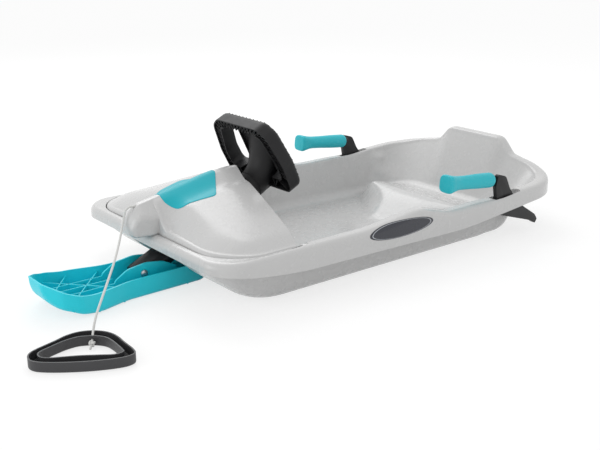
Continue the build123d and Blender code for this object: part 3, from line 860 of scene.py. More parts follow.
def thin_walls(
    starts: np.ndarray, ends: np.ndarray, thickness: float, low: float, high: float, place: Place
) -> Skin:
    """Many thin upright plates at once: each is a box about the line from its start to its end.

    Args:
        starts: Array (n, 2).
        ends: Array (n, 2).
        thickness: Of every plate.
        low: Height of the lower edges.
        high: Height of the upper edges.
        place: Function from local points to the sled's frame.

    Returns:
        Points and faces.
    """
    starts = np.asarray(starts, float)
    ends = np.asarray(ends, float)
    run = ends - starts
    run /= np.linalg.norm(run, axis=1)[:, None]
    left = np.stack([-run[:, 1], run[:, 0]], 1) * thickness / 2
    foot = np.stack([starts + left, starts - left, ends - left, ends + left], 1)
    count = len(starts)
    rings = [np.concatenate([foot, np.full((count, 4, 1), z)], 2) for z in (low, high)]
    points = np.concatenate(rings, 1)
    box = np.array([[0, 3, 2, 1], [4, 5, 6, 7], [0, 1, 5, 4], [1, 2, 6, 5], [2, 3, 7, 6], [3, 0, 4, 7]])
    faces = (box[None] + 8 * np.arange(count)[:, None, None]).reshape(-1, 4)
    return place(points.reshape(-1, 3)), faces


# ------------------------------------------------------------------------------------------ studio
@dataclass
class Studio:
    """The camera, the pale floor and the soft lamps, in metres."""

    camera_place: tuple[float, float, float] = (1.1305, 1.4276, 0.6373)
    camera_back: tuple[float, float, float] = (0.5947, 0.7423, 0.3088)
    lens: float = 56.22
    sensor: float = 36.0
    floor_half: float = 8.0
    floor_z: float = -0.0008
    floor_tone: Colour = (0.9, 0.9, 0.9)
    floor_seen: Colour = (0.30, 0.30, 0.30)
    floor_glow: float = 0.73
    ambient: float = 0.80
    lamps: tuple = (
        ("sky_panel", (-0.5, -1.6, 1.9), (0.0, 0.0, 0.0), 1.9, 20.0),
        ("front_panel", (2.5, -0.5, 0.9), (0.0, 0.0, 0.05), 1.2, 9.0),
    )

    def camera(self) -> None:
        """Makes the camera and gives it to the scene."""
        data = bpy.data.cameras.new("camera")
        data.lens = self.lens
        data.sensor_width = self.sensor
        obj = linked("camera", data)
        obj.location = self.camera_place
        obj.rotation_euler = Vector(self.camera_back).to_track_quat("Z", "Y").to_euler()
        bpy.context.scene.camera = obj

    def seen(self, nodes: Nodes) -> bpy.types.NodeSocket:
        """Builds a socket that is 1 for camera, glossy and transmission rays and 0 for the rest.

        Args:
            nodes: The nodes that it is added to.

        Returns:
            The socket.
        """
        path = nodes.tree.nodes.new("ShaderNodeLightPath").outputs
        near = nodes.math("MAXIMUM", path["Is Camera Ray"], path["Is Glossy Ray"])
        return nodes.math("MAXIMUM", near, path["Is Transmission Ray"])

    def world(self) -> None:
        """Makes a world that is white where it is seen and softer where it lights."""
        world = bpy.data.worlds.new("studio")
        bpy.context.scene.world = world
        world.use_nodes = True
        nodes = Nodes(world.node_tree)
        strength = nodes.spread(self.seen(nodes), self.ambient, 1.0)
        nodes.fill(world.node_tree.nodes["Background"], {"Color": (1.0, 1.0, 1.0, 1.0), "Strength": strength})

    def paint(self, nodes: Nodes) -> dict:
        """Builds the floor's nodes and returns the shader's inputs.

        Args:
            nodes: The material's nodes.

        Returns:
            The shader's inputs.
        """
        seen = self.seen(nodes)
        return {
            "Roughness": 1.0,
            "Specular IOR Level": 0.0,
            "Emission Color": (1.0, 1.0, 1.0, 1.0),
            "Base Color": nodes.mix(seen, self.floor_tone, self.floor_seen),
            "Emission Strength": nodes.math("MULTIPLY", seen, self.floor_glow),
        }

    def floor(self) -> None:
        """Makes the pale floor that keeps the sled's soft shadow."""
        half = self.floor_half
        data = bpy.data.meshes.new("floor")
        corners = [(-half, -half), (half, -half), (half, half), (-half, half)]
        data.from_pydata([(x, y, self.floor_z) for x, y in corners], [], [(0, 1, 2, 3)])
        data.materials.append(painted("pale_floor", self.paint))
        linked("floor", data)

    def lights(self) -> None:
        """Hangs the soft lamps."""
        for name, place, target, size, power in self.lamps:
            lamp = bpy.data.lights.new(name, "AREA")
            lamp.shape = "DISK"
            lamp.size = size
            lamp.energy = power
            obj = linked(name, lamp)
            obj.location = place
            obj.rotation_euler = (Vector(target) - Vector(place)).to_track_quat("-Z", "Y").to_euler()

    def build(self) -> None:
        """Sets the scene."""
        bpy.context.scene.view_settings.view_transform = "Standard"
        self.camera()
        self.world()
        self.floor()
        self.lights()


# ------------------------------------------------------------------------------------------ steering line
@dataclass(frozen=True)
class SteeringLine:
    """The axis that the wheel, the column and the ski turn about."""

    x: float = 88.0
    z: float = 161.4
    tilt: float = 26.0

    def axis(self) -> Axis:
        """The axis from the wheel's front plane, falling forwards.

        Returns:
            The axis.
        """
        lean = math.radians(self.tilt)
        along = (math.cos(lean), 0.0, -math.sin(lean))
        up = (math.sin(lean), 0.0, math.cos(lean))
        return Axis((self.x, 0.0, self.z), along, up)

    def point(self, along: float, up: float) -> np.ndarray:
        """X and z of a point at a distance along the axis and up from it."""
        return self.axis().place(np.array([[0.0, up, along]]))[0, [0, 2]]


# ------------------------------------------------------------------------------------------ hull
@dataclass
class Hull:
    """The moulded tub: turned-down rim, seat, backrest and the tunnel under the nose."""

    rear: float = -561.0
    front: float = 350.0
    half: float = 252.0
    front_r: float = 62.0
    rear_r: float = 105.0
    wall: float = 3.5
    shoulder: float = 12.0
    roll: float = 5.0
    skirt_x: tuple = (-561, -505, -454, -399, -320, -221, -108, -4, 94, 185, 267, 311, 350)
    skirt_z: tuple = (80, 78, 74, 69, 62, 55.5, 57, 59, 60.5, 63, 72, 79, 82)
    rim_x: tuple = (-561, -500, -471, -406, -342, -280, -225, -190, -150, -108, -60, -20, 40, 350)
    rim_z: tuple = (111, 109, 106, 102, 97, 98, 97.5, 99, 109, 117, 112.5, 107.8, 103.5, 103.5)
    back_y: tuple = (0, 60, 76, 92, 105, 125, 160, 191, 215, 235, 252)
    back_z: tuple = (168, 168, 165, 149, 136, 130, 123.5, 117.5, 114.5, 112, 110)
    keel_x: tuple = (-440, 186, 205, 225, 245, 268, 293, 325, 336)
    keel_z: tuple = (3.5, 3.5, 4.6, 7.6, 13.2, 23.5, 41, 67.5, 78)
    gutter_rear: float = 160.0
    gutter_inset: float = 15.0
    gutter_corner: float = 88.0
    gutter_z: float = 92.0
    gutter_width: float = 10.0
    side_inset: float = 24.0
    seat_foot: float = -238.0
    seat_foot_side: float = -345.0
    seat_ridge: float = -350.0
    seat_top: float = 50.0
    pan_x: tuple = (-440, -425, -412, -398, -382, -366, -356, -350)
    pan_z: tuple = (25, 28, 32, 37.5, 42.5, 46.8, 48.8, 49.2)
    wall_foot: tuple = (-474, 334, 209, 50, 90)
    foot_turn: tuple = (-462, 329, 205, 46, 84)
    floor_edge: tuple = (-438, 300, 180, 40, 70)
    floor_middle: tuple = (-350, 200)
    fold_x: float = -436.0
    fold_half: float = 34.0
    fold_depth: float = 9.0
    seat_fall: tuple = ((0, 0.1, 0.3, 0.6, 0.85, 1), (1, 0.975, 0.80, 0.40, 0.09, 0))
    tunnel_rear: float = 205.0
    tunnel_z: float = 66.0
    tunnel_half: float = 84.0
    tower_half: float = 40.0
    tower_reach: float = 36.0
    tower_mouth: float = 80.0
    tower_front: float = 309.0
    below: float = -3.0
    mouth_gap: float = 11.6
    bow_half: float = 120.0
    bow_rear: float = 120.0
    bow_top: float = 130.0
    bulkhead: float = 128.0
    bearing_r: float = 26.0
    slot_x: tuple = (-409.0, -324.0)
    slot_y: float = 237.0
    slot_half: float = 9.0
    line: SteeringLine = field(default_factory=SteeringLine)

    def rim_height(self, x: np.ndarray, y: np.ndarray) -> np.ndarray:
        """Height of the rim's top: the side line, taken over by the backrest's outline at the rear.

        Args:
            x: X of each point.
            y: Y of each point.

        Returns:
            The heights.
        """
        side = fair_curve(self.rim_x, self.rim_z, x)
        back = fair_curve(self.back_y, self.back_z, np.abs(y))
        return side + (back - side) * smooth_step(-498, -540, x)

    def floor_height(self, x: np.ndarray, y: np.ndarray) -> np.ndarray:
        """Height of the floor: the keel line plus the seat.

        The seat is a ridge across the tub. In front of it the height falls along a soft S from the ridge
        to the foot, whose place sweeps back towards the sides; behind it a fair line dips to the pan.
        Towards the sides all of it fades out.

        Args:
            x: X of each point.
            y: Y of each point.

        Returns:
            The heights.
        """
        keel = fair_curve(self.keel_x, self.keel_z, x)
        side = np.abs(y)
        sweep = smooth_step(30, 186, side)
        foot = self.seat_foot + (self.seat_foot_side - self.seat_foot) * sweep * 0.86
        down = np.clip((x - self.seat_ridge) / (foot - self.seat_ridge), 0, 1)
        front = fair_curve(*self.seat_fall, down)
        front = front * (self.seat_top - 0.8 - self.wall)
        rear = fair_curve(self.pan_x, self.pan_z, x) - self.wall
        seat = np.where(x > self.seat_ridge, front, rear)
        return keel + seat * (1 - smooth_step(138, 192, side))

    def outer_y(self, x: np.ndarray, z: np.ndarray) -> np.ndarray:
        """Half width of the rim's outside at a height: straight, then the shoulder's arc."""
        above = np.clip(z - (self.rim_height(x, np.full_like(x, 240.0)) - self.shoulder), 0, self.shoulder)
        return self.half - self.shoulder + np.sqrt(self.shoulder**2 - above**2)

    def rows(self) -> np.ndarray:
        """Points (rows, columns, 3) of the upper face, from the skirt's lip to the middle of the floor.

        Every row is a rounded rectangle. The columns run anticlockwise, and each row's height is a
        function of x and y.

        Returns:
            The rows.
        """
        rim = rounded_plan(self.rear, self.front, self.half, self.front_r, self.rear_r)
        wider = rounded_plan(
            self.rear - 1, self.front + 1, self.half + 1, self.front_r + 1, self.rear_r + 1
        )
        facing = wider - rim
        lip = fair_curve(self.skirt_x, self.skirt_z, rim[:, 0])
        rise = self.rim_height(rim[:, 0], rim[:, 1]) - self.shoulder - lip
        made = [at_height(rim, lip + rise * share) for share in np.linspace(0, 1, 6, endpoint=False)]
        for inward, drop in quarter_turn(8):
            plan = rim - facing * (self.shoulder * inward)
            made.append(at_height(plan, self.rim_height(plan[:, 0], plan[:, 1]) - self.shoulder * drop))
        made += self.inner_edge(made[-1][:, :2])
        made += self.wall_and_floor(made[-1], facing)
        return np.stack(made)

    def inner_edge(self, outer: np.ndarray) -> list[np.ndarray]:
        """Rows over the rim's top and down its inner edge, a quarter circle or the ledge under the cowl.

        Args:
            outer: Array (n, 2), the plan of the row before.

        Returns:
            The rows, each an array (n, 3).
        """
        rear, rear_r = self.rear + self.side_inset, self.rear_r - self.side_inset
        narrow = rounded_plan(
            rear, self.front - self.side_inset, self.half - self.side_inset, self.gutter_corner - 9, rear_r
        )
        wide = rounded_plan(
            rear, self.front - self.gutter_inset, self.half - self.gutter_inset, self.gutter_corner, rear_r
        )
        in_gutter = smooth_step(self.gutter_rear - 6, self.gutter_rear + 8, wide[:, 0])
        edge = narrow + (wide - narrow) * in_gutter[:, None]
        made = drawn_in(outer, edge, (0.34, 0.67, 1.0), self.rim_height)
        rim_top = made[-1][:, 2]
        facing = moved_left(edge, 1.0) - edge
        for angle in (30, 60, 90):
            turn = math.radians(angle)
            drop = self.roll * (1 - math.cos(turn))
            rolled = edge + facing * self.roll * math.sin(turn)
            plan = rolled + (edge + facing * 0.01 - rolled) * in_gutter[:, None]
            ledge = rim_top - (rim_top - self.gutter_z) * angle / 90
            made.append(at_height(plan, (rim_top - drop) * (1 - in_gutter) + ledge * in_gutter))
        shelf = facing * (self.gutter_width * in_gutter)[:, None]
        made.append(made[-1] + at_height(shelf, 0.0))
        return made

    def wall_and_floor(self, head: np.ndarray, facing: np.ndarray) -> list[np.ndarray]:
        """Rows down the wall, round its foot along a quadratic curve and in to the floor's middle line.

        Args:
            head: Array (n, 3), the row before.
            facing: Array (n, 2), the way that each point of the rim faces.

        Returns:
            The rows, each an array (n, 3).
        """
        at_rear = np.clip(-facing[:, 0], 0, 1) ** 2
        plan = rounded_plan(*self.wall_foot)
        keel = fair_curve(self.keel_x, self.keel_z, plan[:, 0])
        foot = at_height(plan, np.minimum(keel + 24, 84) * (1 - at_rear) + 36 * at_rear)
        made = []
        for share in np.linspace(0, 1, 22)[1:]:
            row = head + (foot - head) * share
            made.append(at_height(self.folded(row[:, :2], row[:, 2], facing), row[:, 2]))
        plan = rounded_plan(*self.foot_turn)
        low = fair_curve(self.keel_x, self.keel_z, plan[:, 0]) + 0.5 * facing[:, 1] ** 2
        turn = at_height(plan, low * (1 - at_rear) + 21 * at_rear)
        plan = rounded_plan(*self.floor_edge)
        edge = at_height(plan, self.floor_height(plan[:, 0], plan[:, 1]))
        foot = made[-1]
        for t in np.linspace(0, 1, 13)[1:]:
            made.append((1 - t) ** 2 * foot + 2 * t * (1 - t) * turn + t * t * edge)
        middle = middle_line(plan, *self.floor_middle)
        return made + drawn_in(plan, middle, np.linspace(0, 1, 30)[1:], self.floor_height)

    def folded(self, plan: np.ndarray, height: np.ndarray, facing: np.ndarray) -> np.ndarray:
        """Pushes the wall inwards along an upright fold on each side of the backrest.

        The push is a bell across the fold, (1 + cos)/2 wide, times a soft rise from the floor and a
        soft fall below the rim.

        Args:
            plan: Array (n, 2).
            height: Height of each point.
            facing: The way that each point of the rim faces.

        Returns:
            The plan after it.
        """
        across = np.clip(np.abs(plan[:, 0] - self.fold_x) / self.fold_half, 0, 1)
        bell = 0.5 + 0.5 * np.cos(math.pi * across)
        rise = smooth_step(20, 50, height) * (1 - smooth_step(78, 98, height))
        return plan - facing * (self.fold_depth * bell * rise)[:, None]

    def tunnel(self, grow: float, mouth: float) -> bpy.types.Object:
        """A closed block: the tunnel with its tower round the column, grown by an amount.

        Args:
            grow: How far the block goes beyond the tunnel's inside.
            mouth: X of its open end.

        Returns:
            The block.
        """
        low, back, roof = self.below, self.tunnel_rear - grow, self.tunnel_z + grow
        line = np.array([(back, low), (mouth, low), (mouth, roof), (back + 14, roof), (back, roof - 12)])
        half = self.tunnel_half + grow
        block = make_plate("tunnel", line, -half, half, upright)
        shift = grow / math.cos(math.radians(self.line.tilt))
        head = self.line.point(self.bulkhead, self.tower_reach + grow)
        foot = self.line.point(self.bulkhead, -self.tower_reach - grow)
        lid = self.tower_mouth + grow
        tall = [(foot[0] - shift, low), (mouth, low), (mouth, lid), (self.tower_front, lid)]
        tall += [(head[0] - shift, head[1]), (foot[0] - shift, foot[1])]
        half = self.tower_half + grow
        combine(block, make_plate("tower", np.array(tall), -half, half, upright), Combine.UNITE)
        return block

    def build(self) -> None:
        """Builds and dresses the hull."""
        hull = make_grid("hull_shell", self.rows(), flip=True, weld=0.05)
        thicken(hull, self.wall)
        bake(hull)
        cut(hull, self.tunnel(self.wall / 2, self.front - 12.5))
        x0, x1 = self.slot_x
        half = self.slot_half
        outline = rounded_loop([(x0, -half), (x1, -half), (x1, half), (x0, half)], [6] * 4)
        for side in (1, -1):
            cut(hull, make_plate("slot", outline + (0, side * self.slot_y), 84, 125, level))
        mouth = self.front - self.mouth_gap
        shell = self.tunnel(self.wall, mouth)
        cut(shell, self.tunnel(0.0, self.front))
        rear, half, top = self.bow_rear, self.bow_half, self.bow_top
        under = [(x, z - self.wall) for x, z in zip(self.keel_x[1:], self.keel_z[1:])]
        under = np.array([(rear, 0.0), *under, (mouth, 80.0), (mouth, top), (rear, top)])
        combine(shell, make_plate("bow", under, -half, half, upright), Combine.CROSS)
        cut(shell, make_rod(self.line.axis(), self.bearing_r + 0.2, 80, 170, 64))
        combine(hull, shell, Combine.UNITE)
        finish_piece(hull, Body.SLED, Finish.SHELL, "shell_white", "hull")


# ------------------------------------------------------------------------------------------ cowl
@dataclass
class Cowl:
    """The cowl over the front: a tent-shaped shell with the cord's nose, and the panel on its crest."""

    crest_x: tuple = (120, 132, 160, 190, 220, 280, 340, 392)
    crest_z: tuple = (196, 196, 196, 193.5, 188.5, 175, 162.5, 152.7)
    strip_half: float = 26.0
    strip_drop: float = 11.0
    knee: float = 204.5
    half: float = 235.0
    foot: float = 92.0
    edge: float = 101.0
    base: float = 103.0
    front: float = 333.0
    corner: float = 86.0
    rear_top: float = 145.0
    rear_foot: float = 185.0
    wall: float = 3.0
    front_round: float = 8.0
    front_fall: float = 55.0
    ridge_band: tuple = (14.0, 60.0)
    side_round: float = 6.0
    softness: float = 5.0
    nose_back: float = 306.0
    nose_front: float = 385.0
    nose_half: float = 26.0
    nose_root: float = 31.0
    nose_floor: float = 103.0
    nose_lip: float = 130.0
    nose_top: tuple = (366.0, 157.5)
    panel_half: tuple = ((315, 20), (296, 48), (231, 63), (195, 7))
    panel_r: tuple = (14, 24, 10, 8)
    panel_steps: tuple = ((0.0, 0.15), (0.1, 0.9), (0.5, 1.15), (1.0, 1.2))
    panel_middle: tuple = (226, 286)
    panel_rise: float = 1.2
    crown_half: float = 4.0
    knee_share: float = 0.2
    swell: float = 8.0
    valley: tuple = (40, 11, 2.6)
    fall_power: float = 1.8
    lip_rise: float = 3.0
    crest_front: float = 314.0
    nose_round: float = 12.0
    nose_slope: float = 0.42
    nose_flat: float = 6.0
    nose_radii: tuple = (6, 15, 5)
    brow: tuple = (7, 3.5)
    cord_hole: float = 2.9
    cord_from: tuple = (350.0, 0.0, 149.6)
    cord_to: tuple = (376.5, 0.0, 158.6)

    def height(self, x: np.ndarray, y: np.ndarray) -> np.ndarray:
        """Height of the cowl: three straight ramps from the crest down, rounded by a moving mean.

        The first falls steeply over the strip along the crest, the second runs to the knee and the
        third drops to the foot. A shallow valley lies beside the strip and the second ramp swells a
        little. On both sides of the nose's ridge the tent sinks towards the rounded front outline.

        Args:
            x: X of each point.
            y: Y of each point.

        Returns:
            The heights.
        """
        crest = fair_curve(self.crest_x, self.crest_z, x)[..., None]
        window = np.linspace(-self.softness, self.softness, 9)
        side = np.abs(np.abs(y)[..., None] + window)
        knee_z = self.base + self.knee_share * (crest - self.base)
        shoulder_z = crest - self.strip_drop
        first = np.clip((side - self.crown_half) / (self.strip_half - self.crown_half), 0, 1)
        second = np.clip((side - self.strip_half) / (self.knee - self.strip_half), 0, 1)
        third = np.clip((side - self.knee) / (self.half - self.knee), 0, 1.2)
        line = crest - self.strip_drop * first - (shoulder_z - knee_z) * second
        line = line - (knee_z - self.edge) * third
        line = line + self.swell * second * (1 - second)
        place, width, depth = self.valley
        line = line - depth * np.exp(-(((side - place) / width) ** 2))
        tent = line.mean(-1)
        past = np.clip(np.abs(y) - (self.half - self.corner), 0, self.corner)
        edge_x = self.front - self.corner + np.sqrt(self.corner**2 - past**2)
        near = 1 - np.clip((edge_x - x) / self.front_fall, 0, 1)
        beside = smooth_step(*self.ridge_band, np.abs(y))
        return tent - (tent - self.edge - self.lip_rise) * near**self.fall_power * beside

    def outline(self, inset: float | np.ndarray) -> tuple[np.ndarray, np.ndarray]:
        """The foot's outline from the rear on the left, round the front to the rear on the right.

        Args:
            inset: How far it is moved in, one or one for each point.

        Returns:
            Points (n, 2), and the way each one faces (n, 2).
        """
        side_n, corner_n, front_n = 26, 30, 34
        reach = self.front - self.corner
        share = np.linspace(0, 1, side_n, endpoint=False)
        side = at_height((self.rear_foot + (reach - self.rear_foot) * share)[:, None], self.half)
        turn = np.linspace(math.pi / 2, 0, corner_n, endpoint=False)
        out = np.column_stack([np.cos(turn), np.sin(turn)])
        arc = np.array([reach, self.half - self.corner]) + self.corner * out
        across = np.linspace(self.half - self.corner, 0, front_n)
        head = np.column_stack([np.full(front_n, self.front), across])
        left = np.concatenate([side, arc, head])
        facing = np.concatenate([np.tile([0.0, 1.0], (side_n, 1)), out, np.tile([1.0, 0.0], (front_n, 1))])
        mirror = np.array([1.0, -1.0])
        points = np.concatenate([left, left[:-1][::-1] * mirror])
        facing = np.concatenate([facing, facing[:-1][::-1] * mirror])
        return points - facing * np.reshape(inset, (-1, 1)), facing

    def rows(self) -> np.ndarray:
        """Points (rows, columns, 3): up from the foot, round the edge and in to the crest.

        At both ends the rows are slid along x onto the rear edge's sloping line, less and less forwards.

        Returns:
            The rows.
        """
        foot, facing = self.outline(0.0)
        front_share = np.clip(facing[:, 0], 0, 1) ** 2
        bend = self.side_round + (self.front_round - self.side_round) * front_share
        start = foot - facing * bend[:, None]
        start_z = self.height(start[:, 0], start[:, 1])
        rise = start_z - bend - self.foot
        made = [at_height(foot, self.foot + rise * share) for share in np.linspace(0, 1, 4, endpoint=False)]
        for inward, drop in quarter_turn(8):
            made.append(at_height(foot - facing * (bend * inward)[:, None], start_z - bend * drop))
        edge_n = len(made)
        half_n = (len(foot) + 1) // 2
        run = np.minimum(np.arange(half_n) / 56.0, 1.0)
        run = np.concatenate([run, run[:-1][::-1]])
        crest_x = self.rear_top + (self.crest_front - self.rear_top) * run
        crest = np.column_stack([crest_x, np.zeros(len(foot))])
        made += drawn_in(start, crest, np.linspace(0, 1, 50)[1:], self.height)
        rows = np.stack(made)
        fade = 1 - smooth_step(0.0, 0.9, run)
        slope = (self.rear_foot - self.rear_top) / (self.crest_z[0] - self.foot)
        on_left = np.arange(len(foot)) < half_n
        for column, share in ((0, fade * on_left), (-1, fade * ~on_left)):
            wanted = self.rear_foot - slope * (rows[:, column, 2] - self.foot)
            rows[:, :, 0] += (wanted - rows[:, column, 0])[:, None] * share
        rows[edge_n:, :, 2] = self.height(rows[edge_n:, :, 0], rows[edge_n:, :, 1])
        return rows

    def nose_rows(self, inset: float, back: float) -> np.ndarray:
        """Points (stations, around, 3) of the nose: sections square to x, closed to a point at the front.

        Each section is a rounded outline between the nose's floor and the lower of the cowl's top and
        the sloping face; near the front the sections shrink along a quarter circle.

        Args:
            inset: How far the skin is moved in.
            back: X of the rear section.

        Returns:
            The rows.
        """
        full, round_r = self.nose_front - inset, self.nose_round
        foot_r, side_r, top_r = self.nose_radii
        straight = np.linspace(back, full - round_r, 18)
        turn = np.linspace(0, math.pi / 2, 10)[1:]
        stations = np.concatenate([straight, full - round_r * (1 - np.sin(turn))])
        shrink = np.concatenate([np.zeros(18), round_r * (1 - np.cos(turn))])
        crest = fair_curve(self.crest_x, self.crest_z, stations)
        lean = (self.nose_top[1] - self.nose_lip) / (self.nose_front - self.nose_top[0])
        slope = self.nose_top[1] - lean * (stations - self.nose_top[0])
        width, depth = self.brow
        tops = np.minimum(crest, slope) - depth * np.exp(-(((crest - slope) / width) ** 2)) - 0.4 - inset
        halves = self.nose_root + (self.nose_half - self.nose_root) * smooth_step(340, 380, stations)
        shoulders = self.height(np.minimum(stations, self.front - 3), halves) - 1 - 1.5 * inset
        made = []
        for x, less, top, half, shoulder in zip(stations, shrink, tops, halves - inset, shoulders):
            half = half - less
            top = top - 0.6 * less
            low = self.nose_floor + inset + 0.7 * less
            side_z = max(min(top - self.nose_slope * half, shoulder), low + 8)
            flat = self.nose_flat
            corners = [(-half, low), (half, low), (half, side_z), (flat, top), (-flat, top), (-half, side_z)]
            fit = min(1.0, half / 30, (side_z - low) / 20)
            radii = [foot_r * fit, foot_r * fit, side_r * fit, top_r, top_r, side_r * fit]
            loop = rounded_loop(corners, radii, 12, 4)
            made.append(np.column_stack([np.full(len(loop), x), loop]))
        made.append(np.tile(made[-1].mean(0), (len(made[-1]), 1)))
        return np.stack(made)

    def nose(self, inset: float, back: float) -> bpy.types.Object:
        """A closed nose block.

        Args:
            inset: How far it is moved in.
            back: X of the rear section.

        Returns:
            The block.
        """
        block = make_grid("nose", self.nose_rows(inset, back))
        close_ends(block)
        face_outward(block)
        return block

    def panel(self) -> None:
        """Builds the cyan panel: rings from its outline in to its middle, laid on the cowl."""
        right = tuple((x, -y) for x, y in self.panel_half[::-1])
        loop = rounded_loop(self.panel_half + right, self.panel_r + self.panel_r[::-1], arc_n=10, run_n=10)
        loop = evened_halves(loop, 84)
        made = []
        for inset, rise in self.panel_steps:
            plan = moved_left(loop, inset)
            made.append(at_height(plan, self.height(plan[:, 0], plan[:, 1]) + rise))
        middle = middle_line(loop, *self.panel_middle)
        shares = np.linspace(0, 1, 24)[1:]
        made += drawn_in(made[-1][:, :2], middle, shares, lambda x, y: self.height(x, y) + self.panel_rise)
        panel = make_grid("cowl_panel_skin", np.stack(made), flip=True)
        thicken(panel, 1.1)
        bake(panel)
        finish_piece(panel, Body.SLED, Finish.PANEL, "panel_cyan", "cowl_panel")

    def build(self) -> None:
        """Builds and dresses the cowl and its panel."""
        cowl = make_grid("cowl_shell", self.rows(), ring=False, weld=0.05)
        thicken(cowl, self.wall)
        bake(cowl)
        combine(cowl, self.nose(0.0, self.nose_back), Combine.UNITE)
        cut(cowl, self.nose(self.wall, self.nose_back - 8))
        reach = np.array(self.cord_to) - np.array(self.cord_from)
        cut(cowl, make_rod(Axis(self.cord_from, tuple(reach)), self.cord_hole, 6, 45, 24))
        finish_piece(cowl, Body.SLED, Finish.SHELL, "cowl_white", "cowl")
        self.panel()


# ------------------------------------------------------------------------------------------ side labels
@dataclass
class SideLabel:
    """A plain dark oval label with a slim pale line, wrapped over the rim's side. It carries no print."""

    x: float = -56.0
    z: float = 92.0
    half_length: float = 82.0
    half_height: float = 16.0
    thickness: float = 0.6
    soft: float = 0.005
    line_band: tuple = (0.905, 0.935)
    line_rise: float = 0.08

    def disc(
        self, hull: Hull, name: str, side: int, inner: float, outer: float, lift: float
    ) -> bpy.types.Object:
        """A thin oval or oval ring: rings of one ellipse, scaled, laid on the rim's side.

        Args:
            hull: The hull that it lies on.
            name: The piece's name.
            side: 1 for the left, -1 for the right.
            inner: Scale of the innermost ring, 0 for a full oval.
            outer: Scale of the outermost ring.
            lift: Height of its face above the rim's side.

        Returns:
            The piece.
        """
        angle = np.linspace(0, 2 * math.pi, 96, endpoint=False)
        brink = outer - self.soft
        rings = [(outer, 0.02), (outer, lift - 0.1), (brink, lift)]
        rings += [(brink + (inner - brink) * t, lift) for t in np.linspace(0, 1, 9)[1:]]
        if inner > 0:
            rings.append((inner, 0.02))
        scale, rise = np.array(rings).T[..., None]
        x = self.x + self.half_length * scale * np.cos(angle)
        z = self.z + self.half_height * scale * np.sin(angle)
        y = side * (hull.outer_y(x.ravel(), z.ravel()).reshape(x.shape) + rise)
        points = np.stack([x, y, z], -1).reshape(-1, 3)
        faces = grid_faces(len(rings), 96, inner > 0, True)
        made = make_mesh(name, [(points, faces)], weld=0.001)
        close_ends(made)
        face_outward(made)
        bake(made)
        return made

    def build(self, hull: Hull) -> None:
        """Builds and dresses both labels.

        Args:
            hull: The hull that they lie on.
        """
        for name, side in (("left", 1), ("right", -1)):
            film = self.disc(hull, f"label_{name}_film", side, 0.0, 1.0, self.thickness)
            finish_piece(film, Body.SLED, Finish.NAVY, "label_navy", f"label_{name}")
            lift = self.thickness + self.line_rise
            edge = self.disc(hull, f"label_{name}_line", side, *self.line_band, lift)
            finish_piece(edge, Body.SLED, Finish.LINE, "label_navy")


